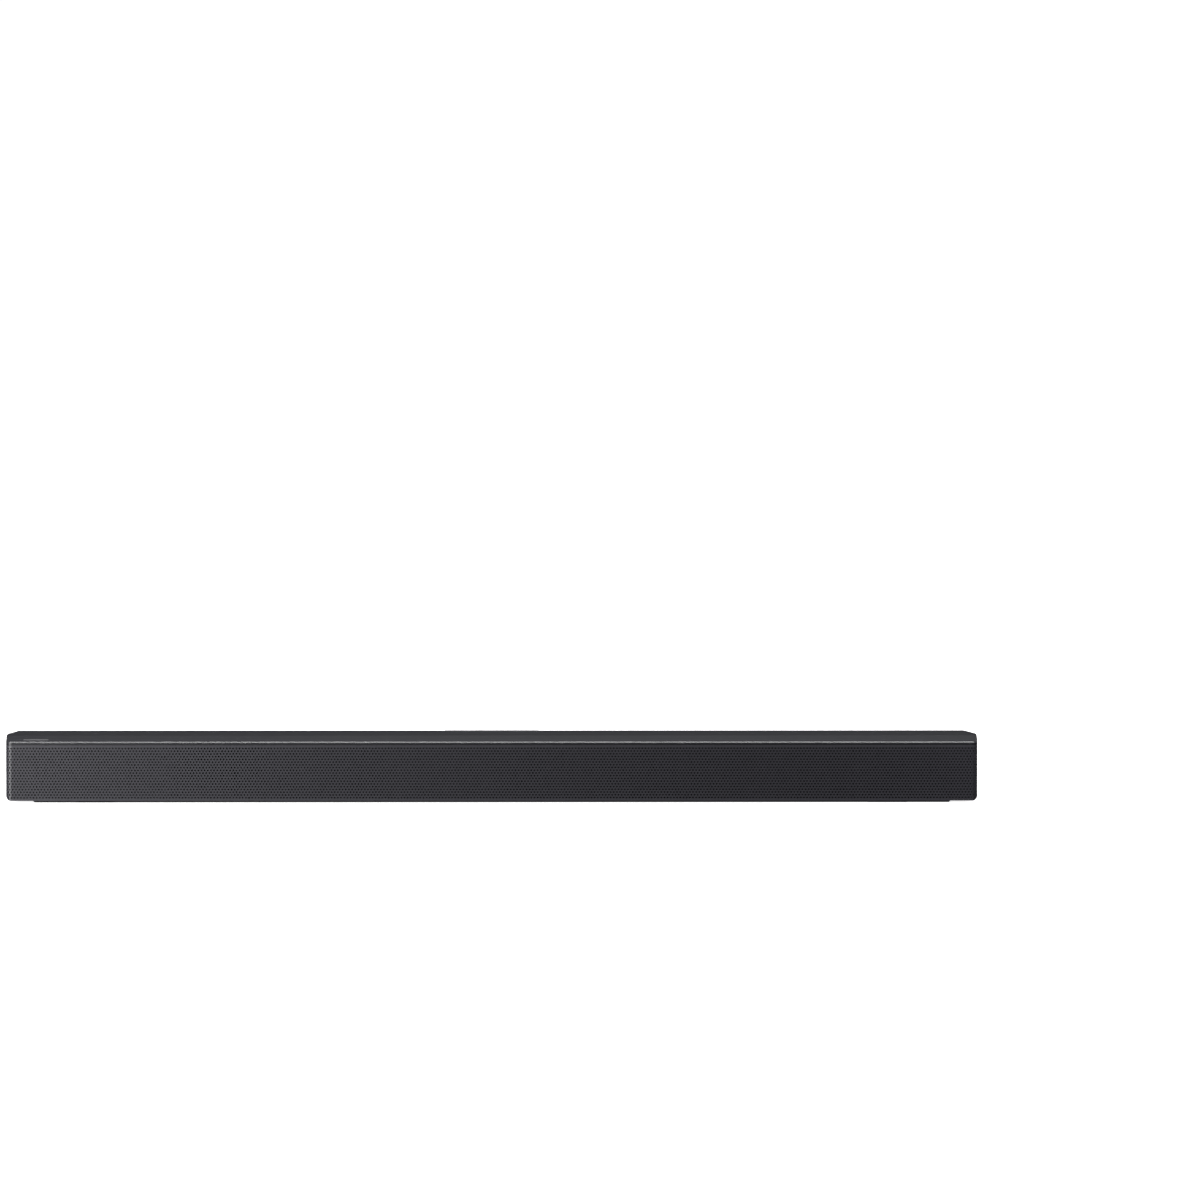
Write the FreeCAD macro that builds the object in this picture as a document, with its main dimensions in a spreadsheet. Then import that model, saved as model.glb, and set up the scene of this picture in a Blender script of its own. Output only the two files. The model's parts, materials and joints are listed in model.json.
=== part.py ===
"""Slim soundbar: a long low loudspeaker cabinet with two drivers a side, an amplifier and top controls.

Millimetres. +X is to the right seen from the front, the grille faces -Y and +Z is up.
The origin is on the surface the bar stands on, under the middle of the bar.
"""

import FreeCAD, Part
import math
import os
import Sketcher

# Driving dimensions, one cell each in the sheet "Sizes".
SIZES = {
    # whole bar
    "bar_length": 858,
    "bar_depth": 75,
    "bar_height": 58.2,
    "side_run": 42,  # straight part of each end, measured from the front
    "rear_taper": 9.7,  # how far each end comes in at the back
    "front_corner": 5,  # corner radii seen from above
    "side_corner": 8,
    "rear_corner": 3,
    "end_round": 4.5,  # radius of the lower edge of each end
    # base
    "foot_stand": 0.5,  # how far the rubber pads stand proud
    "foot_thickness": 1.5,
    "foot_length": 40,
    "foot_width": 10,
    "foot_from_end": 79,
    "foot_from_edge": 9.5,  # from the plinth's front and rear edges to a pad's middle
    "foot_clearance": 0.2,
    "plinth_height": 1.7,
    "plinth_end_inset": 23.3,
    "plinth_edge_inset": 6,
    # top cover
    "lid_rise": 3.7,  # height of the sloped front facet
    "lid_slope_depth": 21.7,
    "lid_lip": 2.5,
    "lid_gap": 0.6,  # shadow line between cover and cabinet
    "lid_wall": 2.2,
    "hollow_lap": 0.2,  # how far the upper hollow dips into the lower one
    "hollow_end_margin": 1,  # extra wall at each end of the upper hollow
    "lid_bevel": 0.9,  # crisp bevel along the front and round the ends
    # grille
    "mesh_thickness": 1,
    "mesh_end_setback": 1.5,  # mesh stops this far ahead of the tapering rear corner
    "seam": 0.2,
    "cloth_thickness": 0.4,
    "cloth_margin": 0.4,  # from the mesh's upper and lower edges
    "frame_thickness": 2,
    "frame_window_length": 74,
    "frame_window_pitch": 82,
    "frame_rail": 5,
    "frame_floor_gap": 0.1,
    "frame_baffle_gap": 0.3,
    "frame_end_margin": 8,  # unbroken frame left at each end
    "peg_radius": 2,
    "peg_clearance": 0.1,
    "peg_from_middle": 12,
    # cabinet
    "case_floor": 2.5,
    "case_wall": 2.5,
    "rim_clearance": 0.2,
    "rim_height": 1.4,
    "baffle_setback": 7.5,  # from the front of the bar to the baffle's face
    "baffle_thickness": 3,
    "baffle_clearance": 0.2,
    "partition_thickness": 2.5,
    "lead_hole_radius": 2.2,
    # screw posts that hold the cover on
    "post_radius": 4.5,
    "post_from_end": 34,
    "post_inner": 112,
    "post_shift": 13,  # how far the middle post sits inward of half way, clear of the woofer
    "post_from_rear": 11.5,
    "post_height": 27.8,
    "post_web": 4,
    "boss_radius": 3.5,
    "boss_hole_depth": 10,
    "screw_radius": 1.4,
    "screw_head_radius": 2.8,
    "screw_head_height": 2,
    "screw_clearance": 0.1,
    "counterbore_clearance": 0.4,
    "screw_bite": 8,
    # controls
    "strip_end": 3.95,  # from an outer button to the end of the strip
    "strip_width": 9,
    "strip_from_rear": 2,
    "strip_thickness": 1.5,
    "strip_stand": 0.3,
    "strip_clearance": 0.1,
    "button_pitch": 22.6,
    "button_length": 7,
    "button_width": 5,
    "button_corner": 1.2,
    "button_stand": 0.15,
    "button_clearance": 0.15,
    "button_travel": 0.5,
    "collar_thickness": 0.8,
    "collar_overhang": 0.8,
    "collar_gap": 0.05,
    "switch_size": 4.5,
    "switch_height": 3.4,
    "switch_gap": 0.1,
    "switch_body": 0.6,  # the housing's share of a switch's height; the plunger is the rest
    "switch_to_leg": 1,
    "button_board_drop": 6,
    "button_board_overhang": 3.65,  # past each end of the strip
    "button_board_screw_inset": 5,
    "button_board_clearance": 0.3,
    "board_thickness": 1.6,
    "inlay_length": 22,
    "inlay_width": 2.2,
    "inlay_thickness": 0.6,
    "inlay_stand": 0.1,
    "inlay_from_end": 15.5,
    "inlay_up_slope": 7.5,
    # woofers
    "woofer_from_end": 129,
    "woofer_length": 110,
    "woofer_margin": 2.2,  # baffle left above and below a woofer's flange
    "flange_thickness": 1.5,
    "flange_corner": 8,
    "flange_rim": 3.5,
    "flange_end": 3,  # extra flange beyond the rim at each end
    "surround_seat": 0.5,  # from the flange's front to the surround's foot
    "basket_wall": 1.5,
    "basket_depth": 16.5,
    "vent_margin": 6,  # basket left round a vent along its length
    "cutout_clearance": 0.3,
    "surround_width": 4,
    "surround_thickness": 0.6,
    "cone_depth": 10.5,
    "cone_wall": 0.8,
    "neck_margin": 1,  # how far the cone's neck stands outside the coil
    "neck_flat": 0.4,  # how much longer than wide the neck is
    "cap_inset": 3.2,  # from the cone's rear to the dust cap's edge
    "cap_height": 3,
    "coil_radius": 8,
    "former_wall": 0.4,
    "winding": 0.5,
    "winding_length": 6.5,
    "coil_gap": 0.4,
    "coil_length": 13.5,
    "magnet_radius": 16,
    "magnet_length": 8,
    "magnet_bore": 10,
    "seat_ledge": 2.5,  # width of the ring that the magnet's front plate bears on
    "plate_thickness": 3,
    "spider_thickness": 0.5,
    "spider_rest": 1.5,
    "spider_clearance": 0.2,
    # tweeters
    "tweeter_from_end": 39,
    "tweeter_radius": 19,
    "dome_radius": 10,
    "dome_height": 4,
    "dome_wall": 0.5,
    "dome_rim": 2.5,
    "rim_lap": 1,  # how far the rim runs in under the dome
    "mouth_flare": 1.5,
    "can_room": 2,  # depth of the hollow behind the dome
    "can_ledge": 0.5,
    "tweeter_motor_radius": 14.5,
    "tweeter_motor_length": 14,
    # driver screws
    "driver_screw_radius": 1.25,
    "driver_screw_head": 2.2,
    "driver_screw_head_height": 1.2,
    "driver_screw_length": 4,
    "driver_screw_inset": 3,
    # connector bay in the rear
    "bay_length": 150,
    "bay_low": 8,
    "bay_height": 34,
    "bay_depth": 22,
    "bay_wall": 2,
    "bay_ear": 8,
    "bay_clearance": 0.1,
    "jack_pitch": 24,
    "jack_clearance": 0.3,
    "jack_stand": 0.5,
    "jack_floor": 1.2,
    "round_jack": 11,
    "flat_jack_height": 7,
    "flat_jack_wall": 1,
    "hdmi_width": 16,
    "usb_width": 14,
    "dc_bore": 3.2,
    "dc_pin": 1,
    "tongue_clearance": 1.2,
    "tongue_lift": 0.2,
    "tongue_setback": 1,
    "hdmi_tongue": 0.9,
    "usb_tongue": 1.8,
    "optical_reach": 4.2,  # half the side of the optical socket's square hollow
    "optical_lamp": 1,
    "optical_lamp_length": 1.5,
    "shutter_pin": 0.7,
    "shutter_gap": 0.2,
    "shutter_setback": 0.3,
    "standoff": 8.5,
    "standoff_radius": 3,
    "board_margin": 2,
    # parts on the main board, placed from its middle
    "chip_thickness": 1.2,
    "amplifier": 12,
    "amplifier_from_middle": 36,
    "decoder": 14,
    "decoder_from_middle": 17,
    "memory": 9,
    "memory_from_middle": 34.5,
    "sink_width": 40,
    "sink_height": 26,
    "sink_base": 3,
    "sink_depth": 14,
    "fin_thickness": 2,
    "capacitor_radius": 4,
    "capacitor_length": 12,
    "capacitor_left": 8,
    "capacitor_right": 1.5,
    "capacitor_drop": 8,
    "capacitor_rise": 3,
    "module_width": 18,
    "module_height": 16,
    "module_thickness": 2.5,
    "module_from_middle": 53,
    "module_drop": 5,
    # sensor board on the baffle
    "sensor_board_thickness": 1,
    "sensor_board_length": 40,
    "sensor_board_height": 12,
    "receiver_width": 6,
    "receiver_height": 7,
    "receiver_depth": 2.2,
    "receiver_from_middle": 7,
    "lens_radius": 2.4,
    "lens_length": 1.5,
    "lens_stand": 1,
    "lens_rise": 0.5,
    "lamp_length": 2,
    "lamp_height": 1.2,
    "lamp_thickness": 0.8,
    "lamp_pitch": 5,
    "lamps_from_middle": 14,
    "small_screw_head_height": 1.4,
    "small_screw_length": 6,
    "ribbon_thickness": 0.4,
    "ribbon_width": 14,
    "ribbon_middle": 20,
    "lead_radius": 1.1,
    "lead_clearance": 0.4,
    "lead_above_middle": 8,
    "lead_end_in": 4,  # how far a lead's end reaches in from a woofer's end and back
    "ribbon_lap": 6,  # how far the flat cable laps down the main board
    "ribbon_lift": 0.1,
    "ribbon_from_strip": 4,
    # wall fixing
    "wall_fixing_spacing": 420,
    "wall_fixing_height": 34,
    "insert_radius": 3,
    "insert_bore": 1.65,
    "insert_length": 8,
    "insert_backing": 2,
}


class Size:
    """A number together with the sheet formula it comes from."""

    def __init__(self, number, formula):
        self.number = number
        self.formula = formula

    def __add__(self, other):
        other = as_size(other)
        return Size(self.number + other.number, f"({self.formula} + {other.formula})")

    def __radd__(self, other):
        return as_size(other) + self

    def __sub__(self, other):
        other = as_size(other)
        return Size(self.number - other.number, f"({self.formula} - {other.formula})")

    def __rsub__(self, other):
        return as_size(other) - self

    def __mul__(self, other):
        other = as_size(other)
        return Size(self.number * other.number, f"({self.formula} * {other.formula})")

    def __rmul__(self, other):
        return as_size(other) * self

    def __truediv__(self, other):
        other = as_size(other)
        return Size(self.number / other.number, f"({self.formula} / {other.formula})")

    def __neg__(self):
        return 0 - self


def as_size(value):
    """Turn a plain number into a Size, and leave a Size as it is."""
    return value if isinstance(value, Size) else Size(value, repr(value))


def root(size):
    """Square root of a Size."""
    return Size(math.sqrt(size.number), f"sqrt({size.formula})")


doc = FreeCAD.newDocument("Soundbar")
sheet = doc.addObject("Spreadsheet::Sheet", "Sizes")


def fill_sheet():
    """Write each driving dimension into its own cell, with its name as the alias."""
    sizes = {}
    for row, (alias, number) in enumerate(SIZES.items(), start=1):
        sheet.set(f"A{row}", alias)
        sheet.set(f"B{row}", str(number))
        sheet.setAlias(f"B{row}", alias)
        sizes[alias] = Size(number, f"Sizes.{alias}")
    doc.recompute()
    return sizes


class Sizes:
    """Every driving dimension as an attribute."""

    def __init__(self, sizes):
        self.__dict__.update(sizes)


size = Sizes(fill_sheet())

# Planes and edges that several pieces share.
HALF = size.bar_length / 2
FRONT = -size.bar_depth / 2
REAR = size.bar_depth / 2
CASE_BOTTOM = size.foot_stand + size.plinth_height
FLOOR_TOP = CASE_BOTTOM + size.case_floor
LID_SLOPE_FOOT = size.bar_height - size.lid_rise
LID_BOTTOM = LID_SLOPE_FOOT - size.lid_lip
LID_CEILING = size.bar_height - size.lid_wall
CABINET_TOP = LID_BOTTOM - size.lid_gap
SHELF_TOP = LID_BOTTOM - size.rim_clearance
TURN_Y = FRONT + size.side_run
MESH_END = TURN_Y - size.mesh_end_setback
CLOTH_FRONT = FRONT + size.mesh_thickness
FRAME_FRONT = CLOTH_FRONT + size.cloth_thickness
FRAME_REAR = FRAME_FRONT + size.frame_thickness
REBATE = size.mesh_thickness + size.cloth_thickness
INNER = REBATE + size.case_wall
BAFFLE_FRONT = FRONT + size.baffle_setback
BAFFLE_REAR = BAFFLE_FRONT + size.baffle_thickness
POST_TOP = CASE_BOTTOM + size.post_height
POST_Y = REAR - size.post_from_rear
POST_OUTER = HALF - size.post_from_end
POST_MIDDLE = (POST_OUTER + size.post_inner) / 2 - size.post_shift
BUTTON_COUNT = 4
FIN_COUNT = 9
LAMP_COUNT = 3
STRIP_LENGTH = (BUTTON_COUNT - 1) * size.button_pitch + size.button_length + 2 * size.strip_end
BUTTON_BOARD_LENGTH = STRIP_LENGTH + 2 * size.button_board_overhang
STRIP_REAR = REAR - size.strip_from_rear
STRIP_Y = STRIP_REAR - size.strip_width / 2
STRIP_BOTTOM = size.bar_height + size.strip_stand - size.strip_thickness
BUTTON_BOARD_TOP = LID_CEILING - size.button_board_drop
WOOFER_X = HALF - size.woofer_from_end
TWEETER_X = HALF - size.tweeter_from_end
DRIVER_Z = (FLOOR_TOP + SHELF_TOP) / 2
WOOFER_HEIGHT = SHELF_TOP - FLOOR_TOP - 2 * size.woofer_margin
FLANGE_FRONT = BAFFLE_FRONT - size.flange_thickness
OPENING_LENGTH = size.woofer_length - 2 * size.flange_end - 2 * size.flange_rim
OPENING_HEIGHT = WOOFER_HEIGHT - 2 * size.flange_rim
CONE_LENGTH = OPENING_LENGTH - 2 * size.surround_width
CONE_HEIGHT = OPENING_HEIGHT - 2 * size.surround_width
CONE_FRONT = FLANGE_FRONT + size.surround_seat
CONE_REAR = CONE_FRONT + size.cone_depth
VENT_PROPORTION = 0.9  # height of a basket's vent as a share of its length
BASKET_REAR = BAFFLE_FRONT + size.basket_depth
BASKET_BACK = BASKET_REAR - size.basket_wall
COIL_REAR = CONE_REAR + size.coil_length
BAY_FLOOR = REAR - size.bay_depth
BAY_FRONT = BAY_FLOOR - size.bay_wall
BAY_MIDDLE = size.bay_low + size.bay_height / 2
BOARD_REAR = BAY_FRONT - size.standoff
BOARD_FRONT = BOARD_REAR - size.board_thickness
JACK_FACE = BAY_FLOOR + size.jack_stand
LEAD_Z = BAY_MIDDLE + size.lead_above_middle
LEAD_START_X = size.bay_length / 2 - size.board_margin + size.lead_clearance
LEAD_START_Y = BOARD_FRONT + size.board_thickness / 2
LEAD_END_X = WOOFER_X - size.woofer_length / 2 + size.lead_end_in
LEAD_END_Y = BASKET_REAR - size.lead_end_in
PARTITION_X = (LEAD_START_X + LEAD_END_X) / 2

# The sloped facet's rate, length, and its turn about X with its cosine and sine.
LID_RATE = size.lid_rise / size.lid_slope_depth
SLOPE_LENGTH = root(size.lid_rise * size.lid_rise + size.lid_slope_depth * size.lid_slope_depth)
SLOPE_COS = size.lid_slope_depth / SLOPE_LENGTH
SLOPE_SIN = size.lid_rise / SLOPE_LENGTH
SLOPE_TURN = FreeCAD.Rotation(FreeCAD.Vector(1, 0, 0), math.degrees(math.atan(LID_RATE.number)))

# How far a cutting shape runs past the surface it cuts, and a pad into the piece it joins.
SPARE = 1

SIDES = {"left": -1, "right": 1}
nodes = {}


def node(name, item):
    """Keep a finished piece under the name that its file takes."""
    item.Label = name
    nodes[name] = item
    return item


def bind(item, prop, value):
    """Tie one property to the sheet."""
    item.setExpression(prop, as_size(value).formula)


def new_body(name):
    return doc.addObject("PartDesign::Body", name)


def sketch_on(body, name, role, offset=0):
    """A sketch on one of the body's own origin planes, moved along the plane's normal."""
    sketch = body.newObject("Sketcher::SketchObject", name)
    plane = [item for item in body.Origin.OriginFeatures if item.Role == role][0]
    sketch.AttachmentSupport = [(plane, "")]
    sketch.MapMode = "FlatFace"
    bind(sketch, "AttachmentOffset.Base.z", offset)
    return sketch


def flat_sketch(body, name, height):
    """A sketch seen from above, at a height."""
    return sketch_on(body, name, "XY_Plane", height)


def front_sketch(body, name, depth):
    """A sketch in a plane that faces the front: its x is X, its y is Z, its normal is -Y."""
    return sketch_on(body, name, "XZ_Plane", -depth)


def side_sketch(body, name, across=0):
    """A sketch in a plane across the bar: its x is Y, its y is Z, its normal is +X."""
    return sketch_on(body, name, "YZ_Plane", across)


def hold(sketch, kind, *parts):
    """Add one dimension whose value stays tied to the sheet."""
    *ends, value = parts
    number = sketch.addConstraint(Sketcher.Constraint(kind, *ends, as_size(value).number))
    bind(sketch, f"Constraints[{number}]", value)


def polygon(sketch, corners):
    """A closed outline of straight sides through corners given as (x, y) pairs."""
    first = sketch.GeometryCount
    points = [FreeCAD.Vector(as_size(x).number, as_size(y).number, 0) for x, y in corners]
    for start, end in zip(points, points[1:] + points[:1]):
        sketch.addGeometry(Part.LineSegment(start, end))
    for step, (x, y) in enumerate(corners):
        line = first + step
        after = first + (step + 1) % len(corners)
        sketch.addConstraint(Sketcher.Constraint("Coincident", line, 2, after, 1))
        hold(sketch, "DistanceX", -1, 1, line, 1, x)
        hold(sketch, "DistanceY", -1, 1, line, 1, y)


def rectangle(sketch, left, right, low, high):
    polygon(sketch, [(left, low), (right, low), (right, high), (left, high)])


def centred(sketch, x, y, length, width):
    """A rectangle about a middle point."""
    rectangle(sketch, x - length / 2, x + length / 2, y - width / 2, y + width / 2)


def circle(sketch, x, y, radius):
    x, y, radius = as_size(x), as_size(y), as_size(radius)
    centre = FreeCAD.Vector(x.number, y.number, 0)
    ring = sketch.addGeometry(Part.Circle(centre, FreeCAD.Vector(0, 0, 1), radius.number))
    hold(sketch, "Radius", ring, radius)
    hold(sketch, "DistanceX", -1, 1, ring, 3, x)
    hold(sketch, "DistanceY", -1, 1, ring, 3, y)


def racetrack(sketch, x, y, length, width):
    """Two half circles joined by straight sides, about a middle point."""
    x, y, length, width = as_size(x), as_size(y), as_size(length), as_size(width)
    reach = (length - width) / 2
    radius = width / 2
    up = FreeCAD.Vector(0, 0, 1)
    left = FreeCAD.Vector((x - reach).number, y.number, 0)
    right = FreeCAD.Vector((x + reach).number, y.number, 0)
    rise = FreeCAD.Vector(0, radius.number, 0)
    quarter = math.pi / 2
    top = sketch.addGeometry(Part.LineSegment(right + rise, left + rise))
    round_left = Part.Circle(left, up, radius.number)
    west = sketch.addGeometry(Part.ArcOfCircle(round_left, quarter, 3 * quarter))
    base = sketch.addGeometry(Part.LineSegment(left - rise, right - rise))
    round_right = Part.Circle(right, up, radius.number)
    east = sketch.addGeometry(Part.ArcOfCircle(round_right, -quarter, quarter))
    for before, after in [(top, west), (west, base), (base, east), (east, top)]:
        sketch.addConstraint(Sketcher.Constraint("Tangent", before, 2, after, 1))
    sketch.addConstraint(Sketcher.Constraint("Horizontal", top))
    hold(sketch, "Radius", west, radius)
    for arc, centre in [(west, x - reach), (east, x + reach)]:
        hold(sketch, "DistanceX", -1, 1, arc, 3, centre)
    hold(sketch, "DistanceY", -1, 1, west, 3, y)


def outline(sketch, inset, front=None):
    """The bar seen from above, set in all round by one amount, or cut straight at front."""
    run = size.bar_depth - size.side_run
    slant = root(size.rear_taper * size.rear_taper + run * run)
    side = HALF - inset
    turn = TURN_Y - inset * (slant - run) / size.rear_taper
    back = side - size.rear_taper + inset - inset * (slant - size.rear_taper) / run
    start = FRONT + inset if front is None else front
    end = REAR - inset
    polygon(
        sketch,
        [(-side, start), (side, start), (side, turn), (back, end), (-back, end), (-side, turn)],
    )


def pad(body, sketch, length, reverse=False, both=False):
    feature = body.newObject("PartDesign::Pad", sketch.Name + "Pad")
    feature.Profile = sketch
    bind(feature, "Length", length)
    feature.Reversed = reverse
    feature.Midplane = both
    return feature


def pocket(body, sketch, length=None, reverse=False, both=False):
    """Cut against the sketch's normal, or along it when reversed; right through without a length."""
    feature = body.newObject("PartDesign::Pocket", sketch.Name + "Pocket")
    feature.Profile = sketch
    if length is None:
        feature.Type = "ThroughAll"
    else:
        bind(feature, "Length", length)
    feature.Reversed = reverse
    feature.Midplane = both
    return feature


def soften(body, kind, base, radius, wanted):
    """Fillet or chamfer the edges of the last feature that the test picks."""
    doc.recompute()
    edges = enumerate(base.Shape.Edges, start=1)
    names = [f"Edge{number}" for number, edge in edges if wanted(edge)]
    feature = body.newObject("PartDesign::" + kind, base.Name + kind)
    feature.Base = (base, names)
    bind(feature, "Radius" if kind == "Fillet" else "Size", radius)
    return feature


def near(number, *targets):
    """True when a number is at one of the given sizes."""
    return any(abs(number - as_size(target).number) < 0.02 for target in targets)


def upright(edge):
    """True for a straight edge along Z."""
    box = edge.BoundBox
    return box.XLength < 1e-6 and box.YLength < 1e-6


def box(name, left, right, front, rear, low, high):
    """A plain block between six planes."""
    block = doc.addObject("Part::Box", name)
    bind(block, "Length", as_size(right) - left)
    bind(block, "Width", as_size(rear) - front)
    bind(block, "Height", as_size(high) - low)
    bind(block, "Placement.Base.x", left)
    bind(block, "Placement.Base.y", front)
    bind(block, "Placement.Base.z", low)
    return block


# Rotations that lay a cylinder's own axis along +X or +Y, or leave it along +Z.
ALONG_X = FreeCAD.Rotation(FreeCAD.Vector(0, 1, 0), 90)
ALONG_Y = FreeCAD.Rotation(FreeCAD.Vector(1, 0, 0), -90)
ALONG_Z = FreeCAD.Rotation()


def rod(name, turn, x, y, z, radius, length):
    """A cylinder from a start point along the axis that its rotation gives."""
    cylinder = doc.addObject("Part::Cylinder", name)
    cylinder.Placement = FreeCAD.Placement(FreeCAD.Vector(), turn)
    bind(cylinder, "Radius", radius)
    bind(cylinder, "Height", length)
    bind(cylinder, "Placement.Base.x", x)
    bind(cylinder, "Placement.Base.y", y)
    bind(cylinder, "Placement.Base.z", z)
    return cylinder


def washer(name, turn, start, outer, inner, length):
    """A disc with a hole through it, its start given as (x, y, z)."""
    x, y, z = start
    disc = rod(name + "Disc", turn, x, y, z, outer, length)
    back = (x, y - SPARE, z) if turn is ALONG_Y else (x, y, z - SPARE)
    hole = rod(name + "Hole", turn, *back, inner, length + 2 * SPARE)
    return cut(name, disc, [hole])


def fuse(name, pieces):
    joined = doc.addObject("Part::MultiFuse", name)
    joined.Shapes = pieces
    return joined


def cut(name, base, tools):
    """Take one or more tools out of a piece."""
    result = doc.addObject("Part::Cut", name)
    result.Base = base
    result.Tool = tools[0] if len(tools) == 1 else fuse(name + "Tools", tools)
    return result


def group(name, pieces):
    """Several separate solids in one node."""
    bundle = doc.addObject("Part::Compound", name)
    bundle.Links = pieces
    return bundle


def lower_end_round(body, name):
    """Round the lower edge of both ends by cutting away the corner outside an arc."""
    sketch = front_sketch(body, name, FRONT - SPARE)
    radius = size.end_round
    level = CASE_BOTTOM + radius
    for side in SIDES.values():
        end = side * HALF
        centre = side * (HALF - radius)
        corner = FreeCAD.Vector(end.number, CASE_BOTTOM.number, 0)
        middle = FreeCAD.Vector(centre.number, level.number, 0)
        low = FreeCAD.Vector(centre.number, CASE_BOTTOM.number, 0)
        high = FreeCAD.Vector(end.number, level.number, 0)
        ring = Part.Circle(middle, FreeCAD.Vector(0, 0, 1), radius.number)
        span = (-math.pi / 2, 0) if side > 0 else (math.pi, 1.5 * math.pi)
        arc = sketch.addGeometry(Part.ArcOfCircle(ring, *span))
        first, last = (low, high) if side > 0 else (high, low)
        start = sketch.addGeometry(Part.LineSegment(last, corner))
        finish = sketch.addGeometry(Part.LineSegment(corner, first))
        sketch.addConstraint(Sketcher.Constraint("Coincident", arc, 2, start, 1))
        sketch.addConstraint(Sketcher.Constraint("Coincident", start, 2, finish, 1))
        sketch.addConstraint(Sketcher.Constraint("Coincident", finish, 2, arc, 1))
        hold(sketch, "DistanceX", -1, 1, start, 2, end)
        hold(sketch, "DistanceY", -1, 1, start, 2, CASE_BOTTOM)
        hold(sketch, "DistanceX", -1, 1, arc, 3, centre)
        hold(sketch, "DistanceY", -1, 1, arc, 3, level)
        hold(sketch, "Radius", arc, radius)
    return pocket(body, sketch, size.bar_depth + 2 * SPARE)


def make_base():
    """The dark plinth under the cabinet and the four rubber pads let into it."""
    body = new_body("Plinth")
    sketch = front_sketch(body, "PlinthProfile", REAR - size.plinth_edge_inset)
    foot = HALF - size.plinth_end_inset - size.plinth_height
    top = HALF - size.plinth_end_inset
    polygon(
        sketch,
        [(-foot, size.foot_stand), (foot, size.foot_stand), (top, CASE_BOTTOM), (-top, CASE_BOTTOM)],
    )
    pad(body, sketch, size.bar_depth - 2 * size.plinth_edge_inset)
    pockets = flat_sketch(body, "PadPockets", size.foot_stand)
    foot_y = size.bar_depth / 2 - size.plinth_edge_inset - size.foot_from_edge
    gap = 2 * size.foot_clearance
    for side in SIDES.values():
        for row in (-1, 1):
            x = side * (HALF - size.foot_from_end)
            racetrack(pockets, x, row * foot_y, size.foot_length + gap, size.foot_width + gap)
    pocket(body, pockets, size.foot_thickness - size.foot_stand, reverse=True)
    access = flat_sketch(body, "ScrewAccess", size.foot_stand)
    for x in post_places():
        circle(access, x, POST_Y, size.screw_head_radius + size.counterbore_clearance)
    pocket(body, access, reverse=True)
    node("base_plinth", body)
    for side_name, side in SIDES.items():
        for row_name, row in (("front", -1), ("rear", 1)):
            body = new_body(f"Foot{row_name}{side_name}")
            sketch = flat_sketch(body, f"FootOutline{row_name}{side_name}", 0)
            x = side * (HALF - size.foot_from_end)
            racetrack(sketch, x, row * foot_y, size.foot_length, size.foot_width)
            pad(body, sketch, size.foot_thickness)
            node(f"foot_{row_name}_{side_name}", body)


def post_places():
    """X of every screw post, from left to right."""
    right = [size.post_inner, POST_MIDDLE, POST_OUTER]
    return [-x for x in reversed(right)] + right


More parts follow.
